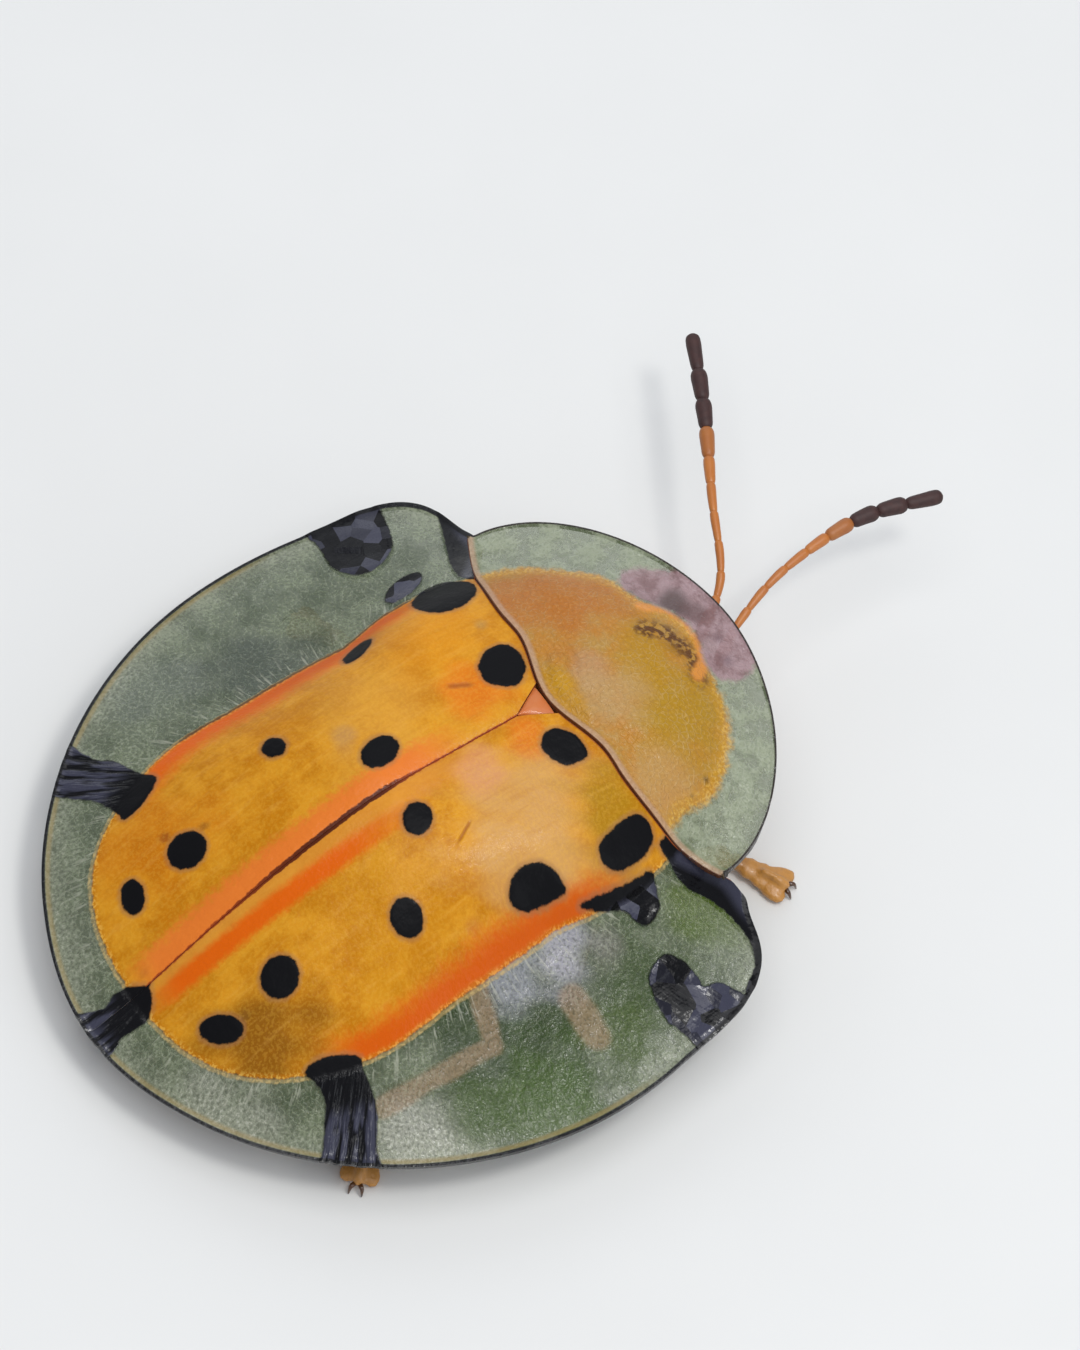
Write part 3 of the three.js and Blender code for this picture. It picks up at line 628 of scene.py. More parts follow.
# Black marks: ovals by place, half length, half width and turn, then patches by their outlines
OVALS = {
    1: [(0.65, 6.33, 0.37, 0.28, 82), (2.99, 9.31, 0.62, 0.5, 80), (3.81, 9.05, 0.45, 0.21, 75),
        (2.83, 7.36, 0.36, 0.17, 71), (1.96, 5.03, 0.23, 0.2, 0), (1.41, 2.91, 0.35, 0.33, 0),
        (1.41, 1.82, 0.32, 0.2, 19)],
    -1: [(0.77, 6.17, 0.31, 0.26, 138), (2.03, 5.15, 0.32, 0.28, 0), (1.5, 2.93, 0.35, 0.33, 0),
         (1.53, 1.74, 0.39, 0.23, 42)],
}
PATCHES = {
    1: [
        [(1.18, 8.75), (1.36, 8.99), (1.38, 9.26), (1.26, 9.46), (0.98, 9.52), (0.71, 9.43), (0.5, 9.17),
         (0.59, 8.88), (0.82, 8.69), (1.02, 8.69)],
        [(5.3, 2.6), (4.84, 2.77), (4.31, 2.91), (3.98, 3.13), (3.44, 3.26), (3.07, 3.38), (2.8, 2.95),
         (2.75, 2.53), (2.98, 2.51), (3.55, 2.4), (4.18, 1.96), (4.6, 1.7)],
        [(6.6, 8.6), (6.5, 9.4), (6.09, 9.9), (5.44, 9.81), (4.81, 9.52), (4.56, 9.02), (4.66, 8.66),
         (5.14, 8.47), (5.74, 8.57)],
        [(5.5, 10.9), (4.9, 11.4), (4.08, 11.4), (3.2, 11.1), (2.9, 10.3), (3.23, 10.0), (3.55, 9.98),
         (3.94, 10.12), (4.5, 10.42)],
        [(-0.2, 1.2), (0.14, 1.07), (0.27, 0.77), (0.2, 0.46), (0.38, 0.12), (0.5, -0.3), (-0.2, -0.3)],
    ],
    -1: [
        [(0.67, 8.81), (0.53, 9.03), (0.58, 9.22), (0.8, 9.41), (1.06, 9.46), (1.26, 9.42), (1.3, 9.19),
         (1.26, 8.98), (1.07, 8.83), (0.86, 8.77)],
        [(2.68, 8.72), (2.57, 9.02), (2.49, 9.42), (2.52, 9.68), (2.7, 9.78), (2.92, 9.73), (3.09, 9.46),
         (3.14, 9.03), (3.08, 8.77), (2.9, 8.64)],
        [(3.22, 8.0), (3.27, 8.57), (3.3, 9.06), (3.3, 9.48), (3.55, 9.42), (3.82, 9.33), (3.98, 9.07),
         (3.93, 8.88), (3.78, 8.79), (3.64, 8.75), (3.5, 8.48), (3.38, 8.2)],
        [(2.53, 6.93), (2.38, 7.23), (2.43, 7.54), (2.58, 7.73), (2.84, 7.84), (3.0, 7.82), (2.98, 7.45),
         (2.92, 7.06), (2.76, 6.87)],
        [(2.98, 2.5), (2.93, 2.78), (3.07, 3.12), (3.28, 3.43), (3.49, 3.4), (3.92, 3.35), (4.24, 3.22),
         (4.6, 2.98), (5.1, 2.7), (4.5, 1.75), (4.2, 2.1), (3.8, 2.42), (3.5, 2.6), (3.2, 2.6)],
        [(4.66, 8.58), (4.52, 8.82), (4.51, 9.04), (4.67, 9.2), (4.82, 9.29), (5.03, 9.33), (5.27, 9.37),
         (5.3, 9.6), (5.48, 9.77), (5.72, 9.93), (6.3, 10.1), (6.6, 8.8), (5.98, 8.7), (5.71, 8.63),
         (5.46, 8.51), (5.14, 8.47), (4.86, 8.51)],
        [(3.0, 9.84), (3.27, 9.86), (3.52, 9.88), (3.79, 10.0), (4.06, 10.26), (4.41, 10.45), (4.77, 10.51),
         (5.1, 10.49), (5.4, 10.33), (5.72, 9.95), (6.3, 10.1), (5.4, 11.4), (4.2, 11.4), (3.0, 10.6)],
        [(-0.2, 1.24), (0.1, 1.22), (0.38, 1.08), (0.51, 0.87), (0.47, 0.66), (0.46, 0.42), (0.56, 0.17),
         (0.66, -0.3), (-0.2, -0.3)],
    ],
}


def oval_depth(across, along, mark):
    """How deep each place lies in an oval, in millimetres, below 0 outside."""
    x, y, length, width, turn = mark
    turn = math.radians(turn)
    u = ((across - x) * math.cos(turn) + (along - y) * math.sin(turn)) / length
    v = ((along - y) * math.cos(turn) - (across - x) * math.sin(turn)) / width
    far = np.hypot(u, v) + 1e-6
    return (1 - far) * far / np.hypot(u / length, v / width).clip(1e-6)


def patch_depth(across, along, outline):
    """How deep each place lies in a rounded patch, below 0 outside."""
    stops = np.array(outline)
    corners = []
    for k in range(len(stops)):
        before, start, end, after = [stops[(k + j) % len(stops)] for j in (-1, 0, 1, 2)]
        for t in np.linspace(0, 1, 6, endpoint=False):
            corners.append(0.5 * (2 * start + (end - before) * t
                                  + (2 * before - 5 * start + 4 * end - after) * t ** 2
                                  + (3 * start - before - 3 * end + after) * t ** 3))
    corners = np.array(corners)
    nearest = np.full(across.shape, FAR)
    inside = np.zeros(across.shape, bool)
    for start, end in zip(corners, np.roll(corners, -1, axis=0)):
        step = end - start
        gone = ((across - start[0]) * step[0] + (along - start[1]) * step[1]) / (step @ step)
        gone = np.clip(gone, 0, 1)
        nearest = np.minimum(nearest, np.hypot(across - start[0] - gone * step[0],
                                               along - start[1] - gone * step[1]))
        crosses = (start[1] > along) != (end[1] > along)
        rise = step[1] if abs(step[1]) > 1e-9 else 1e-9
        inside ^= crosses & (across < start[0] + step[0] * (along - start[1]) / rise)
    return np.where(inside, nearest, -nearest)


# Soft clouds of colour: across, along, radius, share and colour. On the disc, the pale clouds
# at (-1.8, 7.9) and (-0.55, 7.6) are a painted highlight, and the dark cloud at (-2.5, 2.0) is
# painted shade on the rear right flank; the rest are its own tones.
DISC_TONES_SHEEN_AND_SHADE = [
    (-2.5, 2.0, 1.6, 0.95, (0.25, 0.09, 0.001)), (1.9, 2.6, 1.5, 0.5, (0.57, 0.155, 0.002)),
    (1.3, 6.6, 1.6, 0.5, (0.64, 0.31, 0.04)), (-1.9, 4.9, 1.4, 0.5, (0.55, 0.22, 0.001)),
    (2.1, 8.5, 1.2, 0.75, (0.7, 0.27, 0.004)), (-1.8, 7.9, 1.9, 0.85, (0.6, 0.32, 0.1)),
    (-0.55, 7.6, 0.65, 0.6, (0.66, 0.28, 0.13)), (-2.35, 9.2, 1.15, 0.95, (0.38, 0.185, 0.003)),
    (0.75, 8.4, 0.85, 0.75, (0.7, 0.165, 0.005)), (-0.35, 8.65, 0.6, 0.75, (0.7, 0.17, 0.008)),
    (1.25, 5.99, 0.36, 0.5, (0.42, 0.23, 0.1)), (1.56, 3.34, 0.1, 0.6, (0.2, 0.07, 0.01)),
    (1.88, 2.77, 0.12, 0.8, (0.3, 0.07, 0.005)), (0.2, 1.3, 0.14, 0.6, (0.2, 0.06, 0.01)),
    (-1.62, 2.14, 0.12, 0.5, (0.16, 0.07, 0.01)), (-2.35, 1.6, 0.16, 0.5, (0.16, 0.06, 0.005)),
    (1.9, 9.3, 0.2, 0.5, (0.3, 0.18, 0.07)), (-2.7, 6.1, 0.25, 0.5, (0.5, 0.16, 0.03)),
]
# In the margin, the pale bluish clouds at (-3.45, 6.5) and (-3.45, 7.45) are a painted reflection beside
# the right side of the disc.
MARGIN_TONES_AND_REFLECTION = [
    (-4.6, 5.8, 2.3, 0.95, (0.018, 0.045, 0.004)), (-4.6, 8.6, 1.3, 0.85, (0.035, 0.07, 0.01)),
    (-3.45, 6.5, 0.85, 0.85, (0.34, 0.35, 0.39)), (-3.45, 7.45, 1.0, 0.95, (0.42, 0.41, 0.46)),
    (-3.9, 8.1, 0.5, 0.4, (0.4, 0.36, 0.34)), (-5.0, 3.6, 1.1, 0.85, (0.4, 0.4, 0.33)),
    (-2.6, 0.9, 1.4, 0.7, (0.36, 0.37, 0.29)), (-5.4, 6.0, 1.3, 0.95, (0.045, 0.1, 0.0)),
    (3.9, 6.0, 1.5, 0.8, (0.07, 0.09, 0.07)), (-4.3, 10.1, 1.0, 0.85, (0.09, 0.15, 0.004)),
    (-5.1, 4.9, 0.9, 0.8, (0.045, 0.095, 0.0)), (1.5, 0.6, 1.2, 0.5, (0.24, 0.27, 0.18)),
    (-5.35, 7.6, 0.95, 0.85, (0.06, 0.105, 0.01)), (4.8, 4.4, 1.2, 0.5, (0.16, 0.19, 0.15)),
    (-3.55, 4.3, 0.5, 0.6, (0.05, 0.08, 0.04)),
]
# The legs that show through the clear margin: two ends by across and along, half width
LEG_SHADES = [((-3.35, 5.8), (-4.3, 5.55), 0.22), ((-4.3, 5.5), (-4.15, 3.4), 0.21),
              ((-4.35, 7.22), (-5.05, 7.27), 0.3)]
LEG_TINT = (0.4, 0.26, 0.15)
# Creases pressed into the disc and darkened with painted shade: start and end by across and
# along, and half width
CREASES = [((1.15, 7.98), (0.88, 8.52), 0.09), ((-1.55, 6.45), (-1.25, 7.0), 0.05)]


def flat_noise(tree, place, scale, detail=3, rough=0.5):
    """Noise that takes no heed of height, for the thin shells."""
    made = add(tree, "ShaderNodeTexNoise", {"Vector": place, "Scale": scale, "Detail": detail,
                                            "Roughness": rough}, noise_dimensions="2D")
    return made.outputs["Fac"]


def creased(tree, place, start, end, half):
    """1 along a short crease, fading to its ends and sides."""
    start, end = Vector((start[0], TIP - start[1], 0)), Vector((end[0], TIP - end[1], 0))
    ahead = (end - start).normalized()
    side = Vector((-ahead.y, ahead.x, 0))
    middle = (start + end) / 2
    far = []
    for axis in (ahead, side):
        gone = add(tree, "ShaderNodeVectorMath", {0: place, 1: axis}, operation="DOT_PRODUCT")
        gone = calc(tree, "SUBTRACT", gone.outputs["Value"], middle.dot(axis))
        far.append(calc(tree, "ABSOLUTE", gone))
    reach = (end - start).length / 2
    inside = between(tree, far[0], reach, reach * 0.4)
    return times(tree, inside, between(tree, far[1], half, 0.0))


def waver(across, along):
    """A gentle unevenness, so that no cloud of colour is round."""
    return (0.5 * np.sin(3.1 * across + 1.7 * along) + 0.4 * np.sin(5.3 * along - 2.3 * across + 1)
            + 0.3 * np.sin(9.1 * across + 7.7 * along + 2))


def paint_clouds(piece, across, along, *layers):
    """Lays soft clouds of colour over one another, each list only where it belongs. Some of
    the clouds are painted highlight, reflection or shade.
    """
    tint, share = np.zeros((len(across), 3)), np.zeros(len(across))
    for clouds, kept in layers:
        for x, y, radius, strength, shade in clouds:
            far = np.hypot(across - x, along - y) + radius * 0.25 * waver(across, along)
            here = strength * smooth_step(radius, radius * 0.25, far) * kept
            tint = tint * (1 - here)[:, None] + np.array(shade) * here[:, None]
            share = share * (1 - here) + here
    attribute(piece, "cloud_share", share)
    layer = piece.data.attributes.new("cloud_colour", "FLOAT_COLOR", "POINT")
    solid_tint = np.hstack([tint, np.ones((len(tint), 1))])
    layer.data.foreach_set("color", solid_tint.astype(np.float32).ravel())


def line_share(across, along, start, end, half):
    """1 along the middle of a short thick line, fading to its sides."""
    places = np.stack([across, along], axis=1)
    far, _ = distance_to_line(places, start, end)
    return smooth_step(half, half * 0.6, far + half * 0.15 * waver(across, along))


def clouded(tree, tone):
    """A tone under the clouds of colour that are painted on the piece."""
    under = mix(tree, painted(tree, "cloud_share"), tone, colour(0, 0, 0))
    over = add(tree, "ShaderNodeAttribute", attribute_name="cloud_colour").outputs["Color"]
    return add(tree, "ShaderNodeMix", {0: 1.0, 6: under, 7: over}, data_type="RGBA",
               blend_type="ADD").outputs[2]


def grid_piece(name, round_rows, out_rows):
    """A flat grid, and the share of the way that each point lies along its two sides."""
    bpy.ops.object.select_all(action="DESELECT")
    bpy.ops.mesh.primitive_grid_add(x_subdivisions=round_rows, y_subdivisions=out_rows, size=2)
    bpy.context.object.name = name
    shares = (points_of(bpy.context.object) + 1) / 2
    return bpy.context.object, shares[:, 0], shares[:, 1]


def walled(piece, thickness):
    """Closes the seams of a sheet, turns it face up, and gives it a wall downwards."""
    only(piece)
    bpy.ops.object.mode_set(mode="EDIT")
    bpy.ops.mesh.select_all(action="SELECT")
    bpy.ops.mesh.remove_doubles(threshold=1e-4)
    bpy.ops.mesh.normals_make_consistent(inside=False)
    bpy.ops.object.mode_set(mode="OBJECT")
    if np.mean([face.normal.z for face in piece.data.polygons]) < 0:
        bpy.ops.object.mode_set(mode="EDIT")
        bpy.ops.mesh.flip_normals()
        bpy.ops.object.mode_set(mode="OBJECT")
    wall = piece.modifiers.new("wall", "SOLIDIFY")
    wall.thickness = thickness
    wall.offset = -1
    bpy.ops.object.modifier_apply(modifier="wall")


def wing_case(side, name):
    piece, turn_share, far_share = grid_piece(name, GRID_ROWS["round"], GRID_ROWS["out"])
    # Rays spaced evenly along the outline
    rays = np.radians(np.linspace(-90, 90, 2401))
    ends = wing_reach(rays)
    kernel = np.hanning(LOBE_RAYS)[1:-1]
    padded = np.pad(ends, len(kernel) // 2, mode="edge")
    rounded = np.convolve(padded, kernel / kernel.sum(), "valid")
    lobe = smooth_step(*LOBE_FROM, np.degrees(rays)) * smooth_step(*LOBE_TO, np.degrees(rays))
    ends = ends + (np.minimum(rounded, ends) - ends) * lobe
    steps = np.hypot(np.diff(ends * np.cos(rays)), np.diff(ends * np.sin(rays)))
    steps = 0.8 * steps / steps.sum() + 0.2 / len(steps)
    gone = np.concatenate([[0], np.cumsum(steps)])
    turn = np.interp(turn_share, gone, rays)
    reach = np.interp(turn_share, gone, ends)
    disc = form_at(np.degrees(turn))[1]
    kept = np.minimum(np.minimum(disc, wing_reach(turn, 0.0) * 0.82), reach * 0.95)
    past = (far_share - DISC_ROWS) / (1 - DISC_ROWS)
    far = np.where(past < 0, kept * far_share / DISC_ROWS, kept + (reach - kept) * past)
    across = SEAM + far * np.cos(turn) * (1 - SEAM / reach)
    along = HUB + far * np.sin(turn)
    # The height is evened out over a short way along each ray, so that no edge is sharp
    up = np.zeros_like(across)
    for shift, weight in ((-0.16, 0.14), (-0.08, 0.22), (0, 0.28), (0.08, 0.22), (0.16, 0.14)):
        up += weight * wing_top(across + shift * np.cos(turn), along + shift * np.sin(turn))
    depth = np.full_like(across, -FAR)
    for mark in OVALS[side]:
        depth = np.maximum(depth, oval_depth(across, along, mark))
    for outline in PATCHES[side]:
        depth = np.maximum(depth, patch_depth(across, along, outline))
    rim = form_at(np.degrees(turn))[0]
    up += MARK_LIFT * smooth_step(-0.03, 0.05, depth)
    up += SEAM_RIDGE * np.exp(-((across - 0.28) / 0.16) ** 2)
    up -= SEAM_GROOVE * np.exp(-(across / 0.06) ** 2)
    up += RIM_LIP * smooth_step(0.14, 0.03, rim - far)
    # Long folds in the bands behind, crumpled planes in the patches ahead, and a loose margin
    outside = smooth_step(0.05, 0.35, far - disc)
    degrees = np.degrees(turn)
    inked = smooth_step(0.0, 0.12, depth) * outside
    folds = np.sin(1.7 * degrees + 1.6 * np.sin(1.9 * far)) + 0.6 * np.sin(3.1 * degrees - 2.1 * far)
    up += BAND_FOLDS * folds * inked * smooth_step(14, 8, degrees)
    crumple = 0.8 - np.abs(np.sin(2.9 * across + 1.3 * along))
    crumple -= np.abs(np.sin(3.3 * along - 1.6 * across))
    from_base = wing_limit(across) - along
    ahead = smooth_step(8, 16, degrees) * smooth_step(0.7, 1.0, from_base)
    up += PATCH_CRUMPLE * crumple * inked * ahead
    loose = waver(1.6 * across, 1.6 * along) * outside
    up += MARGIN_WAVER * loose * smooth_step(0.1, 0.4, rim - far)
    reshape(piece, lambda x, y, z: (side * across, TIP - along, up))
    attribute(piece, "disc", disc - far)
    attribute(piece, "rim", rim - far)
    attribute(piece, "mark", depth)
    attribute(piece, "turn", degrees)
    attribute(piece, "base", from_base)
    paint_clouds(piece, side * across, along, (DISC_TONES_SHEEN_AND_SHADE, far < disc), (MARGIN_TONES_AND_REFLECTION, far >= disc))
    legs = np.zeros_like(across)
    for start, end, half in LEG_SHADES:
        legs = np.maximum(legs, line_share(side * across, along, start, end, half))
    attribute(piece, "legs", legs * (far >= disc))
    walled(piece, WALL)
    return piece


def shell_finish():
    """Golden disc, clear margin, black marks and rim, told apart by what the piece keeps."""
    finish, tree, surface = new_finish("wing_case")
    place = millimetres(tree)
    axes = add(tree, "ShaderNodeSeparateXYZ", {0: place})
    out = calc(tree, "ABSOLUTE", axes.outputs[0])
    along = calc(tree, "SUBTRACT", TIP, axes.outputs[1])
    left = between(tree, axes.outputs[0], -0.01, 0.01)
    right = calc(tree, "SUBTRACT", 1.0, left)
    rim, turn, base = painted(tree, "rim"), painted(tree, "turn"), painted(tree, "base")
    crease = creased(tree, place, *CREASES[0])
    for lines in CREASES[1:]:
        crease = calc(tree, "MAXIMUM", crease, creased(tree, place, *lines))
    # Edges of the disc and of the marks, made a little ragged
    fray = calc(tree, "SUBTRACT", flat_noise(tree, place, 8, 3, 0.65), 0.5)
    disc = calc(tree, "MULTIPLY_ADD", fray, 0.09, painted(tree, "disc"))
    mark = calc(tree, "MULTIPLY_ADD", fray, 0.07, painted(tree, "mark"))
    # Streaks that run out from the disc: noise drawn long along the rays
    outwards = times(tree, painted(tree, "disc"), 1.5)
    polar = add(tree, "ShaderNodeCombineXYZ", {0: turn, 1: outwards})
    streaks = flat_noise(tree, polar.outputs[0], 1.0, 2, 0.6)
    fibres = times(tree, between(tree, streaks, 0.58, 0.7), 0.45,
                   between(tree, painted(tree, "disc"), -0.75, -0.05))
    # Fine lengthwise brush marks, and grain
    drawn = add(tree, "ShaderNodeVectorMath", {0: place, 1: (7, 1.1, 0)},
                operation="MULTIPLY").outputs[0]
    brushed = flat_noise(tree, drawn, 1.0, 2, 0.6)
    grains = flat_noise(tree, place, 16, 2, 0.6)
    crumbs = between(tree, grains, 0.46, 0.6)
    # The golden disc
    mist = flat_noise(tree, place, 1.1, 4, 0.68)
    gold = mix(tree, between(tree, mist, 0.36, 0.64), colour(0.66, 0.28, 0.012),
               colour(0.52, 0.185, 0.001))
    # The disc's clouds: its own tones, a painted highlight and painted shade
    gold = clouded(tree, gold)
    gold = mix(tree, times(tree, between(tree, brushed, 0.52, 0.75), 0.16), gold,
               colour(0.42, 0.14, 0.003))
    gold = mix(tree, times(tree, between(tree, brushed, 0.45, 0.25), 0.14), gold,
               colour(0.78, 0.42, 0.08))
    gold = mix(tree, times(tree, crumbs, 0.14), gold, colour(0.8, 0.45, 0.05))
    # An orange band inside each side of the disc
    side_window = times(tree, between(tree, along, 2.6, 3.6), between(tree, along, 9.3, 8.2))
    ragged = calc(tree, "MULTIPLY_ADD", fray, 0.25, painted(tree, "disc"))
    ragged = calc(tree, "MULTIPLY_ADD", mist, 0.4, ragged)
    side_band = times(tree, between(tree, ragged, 0.95, 0.42), side_window)
    # The left band is painted a little brighter than the right, as painted light to make up for the less
    # light that falls where the disc slopes away on that side
    burnt = mix(tree, left, colour(0.64, 0.1, 0.0), colour(0.72, 0.12, 0.0))
    gold = mix(tree, side_band, gold, burnt)
    # Bands beside the seam: salmon on the left, and on the right an orange streak a little way out
    seam_window = times(tree, between(tree, along, 0.9, 1.6), between(tree, along, 8.0, 6.6))
    seam_reach = calc(tree, "MULTIPLY_ADD", fray, 0.35, out)
    salmon = times(tree, between(tree, seam_reach, 0.62, 0.3), seam_window)
    gold = mix(tree, times(tree, salmon, left, 0.9), gold, colour(0.76, 0.18, 0.024))
    gold = mix(tree, times(tree, salmon, right, 0.6), gold, colour(0.7, 0.27, 0.035))
    middle = calc(tree, "MULTIPLY_ADD", along, 0.04, 0.33)
    astray = calc(tree, "SUBTRACT", calc(tree, "MULTIPLY_ADD", fray, 0.14, out), middle)
    astray = calc(tree, "ABSOLUTE", astray)
    streak = times(tree, between(tree, astray, 0.29, 0.08), between(tree, along, 6.8, 4.6))
    streak = times(tree, streak, right, between(tree, along, 0.9, 1.7))
    gold = mix(tree, streak, gold, colour(0.7, 0.115, 0.0))
    halo = times(tree, between(tree, mark, -0.1, -0.01), 0.5)
    gold = mix(tree, halo, gold, colour(0.3, 0.14, 0.06))
    # The seam: a thin reddish line, wider and darker amidships
    groove = times(tree, between(tree, along, 1.9, 4.6), between(tree, along, 6.9, 5.9))
    astray = calc(tree, "MULTIPLY_ADD", fray, 0.06, calc(tree, "MULTIPLY_ADD", groove, -0.04, out))
    seam_line = between(tree, astray, 0.035, 0.01)
    seam_tone = mix(tree, groove, colour(0.34, 0.055, 0.01), colour(0.1, 0.018, 0.004))
    gold = mix(tree, seam_line, gold, seam_tone)
    # Painted shade darkens the creases
    gold = mix(tree, times(tree, crease, 0.7), gold, colour(0.3, 0.07, 0.01))
    lip = times(tree, between(tree, disc, 0.12, 0.02), 0.6)
    gold = mix(tree, lip, gold, mix(tree, crumbs, colour(0.5, 0.17, 0.003), colour(0.78, 0.45, 0.08)))
    # The clear margin, with its faint net of veins and its cloudy places
    swell = flat_noise(tree, place, 3.2, 3, 0.55)
    bend = add(tree, "ShaderNodeCombineXYZ", {0: swell, 1: mist}).outputs[0]
    bent = add(tree, "ShaderNodeVectorMath", {0: bend, 1: (0.5, 0.5, 0), 2: place},
               operation="MULTIPLY_ADD")
    net = add(tree, "ShaderNodeTexVoronoi", {"Vector": bent.outputs[0], "Scale": 8.0},
              feature="DISTANCE_TO_EDGE", voronoi_dimensions="2D").outputs["Distance"]
    veins = between(tree, net, 0.1, 0.01)
    clear = mix(tree, between(tree, mist, 0.36, 0.64), colour(0.09, 0.12, 0.06),
                colour(0.19, 0.23, 0.13))
    # The margin's clouds, with a painted reflection beside the disc
    clear = clouded(tree, clear)
    # In the deep green places the rim is less pale, and fewer veins and specks catch the light
    deep_green = between(tree, add(tree, "ShaderNodeRGBToBW", {0: clear}).outputs[0], 0.15, 0.07)
    pale_rim = times(tree, between(tree, rim, 0.7, 0.1), blend(tree, deep_green, 0.42, 0.1))
    clear = mix(tree, pale_rim, clear, colour(0.4, 0.42, 0.3))
    cloudiness = add(tree, "ShaderNodeRGBToBW", {0: clear}).outputs[0]
    legs = times(tree, painted(tree, "legs"), 0.62)
    clear = mix(tree, legs, clear, colour(*LEG_TINT))
    clear = mix(tree, times(tree, between(tree, net, 0.12, 0.45), 0.3), clear,
                colour(0.05, 0.065, 0.03))
    clear = mix(tree, times(tree, veins, blend(tree, deep_green, 0.34, 0.18)), clear,
                colour(0.44, 0.48, 0.33))
    clear = mix(tree, times(tree, between(tree, grains, 0.47, 0.34), 0.4), clear,
                colour(0.045, 0.06, 0.03))
    frosted = times(tree, between(tree, cloudiness, 0.12, 0.45), between(tree, along, 5.2, 4.2))
    specks = times(tree, between(tree, grains, 0.56, 0.68),
                   calc(tree, "MULTIPLY_ADD", frosted, 0.5, blend(tree, deep_green, 0.12, 0.05)))
    clear = mix(tree, specks, clear, colour(0.7, 0.7, 0.58))
    clear = mix(tree, fibres, clear, colour(0.7, 0.7, 0.56))
    body = mix(tree, between(tree, disc, -0.02, 0.03), clear, gold)
    # A pale crumbly line just outside the disc, and a dark one along its left side
    edge = calc(tree, "MULTIPLY_ADD", fray, 0.05, painted(tree, "disc"))
    pale_edge = times(tree, between(tree, edge, -0.08, -0.045), between(tree, edge, 0.01, -0.02))
    pale_edge = times(tree, pale_edge, calc(tree, "MULTIPLY_ADD", crumbs, 0.35, 0.45))
    body = mix(tree, pale_edge, body, colour(0.62, 0.44, 0.17))
    dark_window = times(tree, between(tree, along, 3.8, 4.4), between(tree, along, 9.2, 8.6))
    dark_edge = times(tree, between(tree, disc, -0.07, -0.02), between(tree, disc, 0.04, 0.0))
    dark_edge = times(tree, dark_edge, left, dark_window)
    body = mix(tree, dark_edge, body, colour(0.12, 0.05, 0.012))
    edge_line = calc(tree, "MAXIMUM", pale_edge, dark_edge)
    # Marks and rim; where the bands that cross the margin fold, a slaty painted reflection lies
    # on their black
    folds = flat_noise(tree, polar.outputs[0], 0.8, 2, 0.55)
    in_margin = between(tree, disc, 0.0, -0.15)
    blot = between(tree, mark, -0.02, 0.02)
    # Crumpled facets in the front patches: each cell is a plane tilted its own way, and by its own
    # tone gets more or less of the slaty painted reflection
    shards = add(tree, "ShaderNodeTexVoronoi", {"Vector": place, "Scale": 3.4}, feature="F1",
                 voronoi_dimensions="2D")
    inside = add(tree, "ShaderNodeVectorMath", {0: place, 1: shards.outputs["Position"]},
                 operation="SUBTRACT").outputs[0]
    tilt = add(tree, "ShaderNodeVectorMath", {0: shards.outputs["Color"], 1: (0.5, 0.5, 0.5)},
               operation="SUBTRACT").outputs[0]
    facets = add(tree, "ShaderNodeVectorMath", {0: inside, 1: tilt}, operation="DOT_PRODUCT")
    facets = facets.outputs["Value"]
    shade = add(tree, "ShaderNodeSeparateColor", {0: shards.outputs["Color"]}).outputs[2]
    crumpled = times(tree, between(tree, turn, 8, 16), between(tree, base, 0.7, 1.0))
    crumpled = times(tree, crumpled, in_margin)
    from_disc = blend(tree, left, -0.5, -0.15)
    slate_sheen = between(tree, disc, from_disc, calc(tree, "SUBTRACT", from_disc, 0.4))
    slate_sheen = times(tree, slate_sheen, between(tree, turn, 16, 8))
    slate_sheen = times(tree, slate_sheen, between(tree, folds, 0.36, 0.56))
    # A slaty painted sheen on the black wedge of each front lobe, next to the collar
    sheen = times(tree, between(tree, base, 0.42, 0.15), between(tree, turn, 43, 47))
    sheen = times(tree, sheen, in_margin)
    slate_sheen = calc(tree, "MAXIMUM", slate_sheen, times(tree, sheen, 0.8))
    slate_sheen = calc(tree, "MAXIMUM", slate_sheen, times(tree, crumpled, between(tree, shade, 0.3, 0.9)))
    # Black ink, with the slaty painted reflection laid over it
    ink_and_sheen = mix(tree, slate_sheen, colour(0.003, 0.003, 0.004), colour(0.042, 0.043, 0.068))
    body = mix(tree, blot, body, ink_and_sheen)
    gilt = times(tree, between(tree, rim, 0.05, 0.08), between(tree, rim, 0.18, 0.11))
    gilt = times(tree, gilt, between(tree, turn, 18, 8))
    gilt = times(tree, gilt, between(tree, mark, 0.02, -0.04))
    body = mix(tree, times(tree, gilt, 0.6), body, colour(0.36, 0.26, 0.08))
    lobe = between(tree, turn, 18, 38)
    line = between(tree, calc(tree, "MULTIPLY_ADD", lobe, -0.05, rim), 0.07, 0.045)
    body = mix(tree, line, body, colour(0.004, 0.004, 0.005))
    cut = between(tree, base, 0.03, 0.01)
    body = mix(tree, cut, body, colour(0.3, 0.07, 0.015))
    tree.links.new(body, surface.inputs["Base Color"])
    # How much of it lets light through
    solid = calc(tree, "MAXIMUM", between(tree, disc, -0.04, 0.03), between(tree, mark, -0.025, 0.01))
    solid = calc(tree, "MAXIMUM", solid, calc(tree, "MAXIMUM", line, edge_line))
    solid = calc(tree, "MAXIMUM", solid, times(tree, gilt, 0.6))
    haze = calc(tree, "MULTIPLY_ADD", between(tree, cloudiness, 0.05, 0.45), 0.2, 0.58)
    haze = calc(tree, "MULTIPLY_ADD", deep_green, 0.16, haze)
    haze = calc(tree, "MAXIMUM", haze, times(tree, legs, 0.85))
    tree.links.new(calc(tree, "MAXIMUM", solid, haze), surface.inputs["Alpha"])
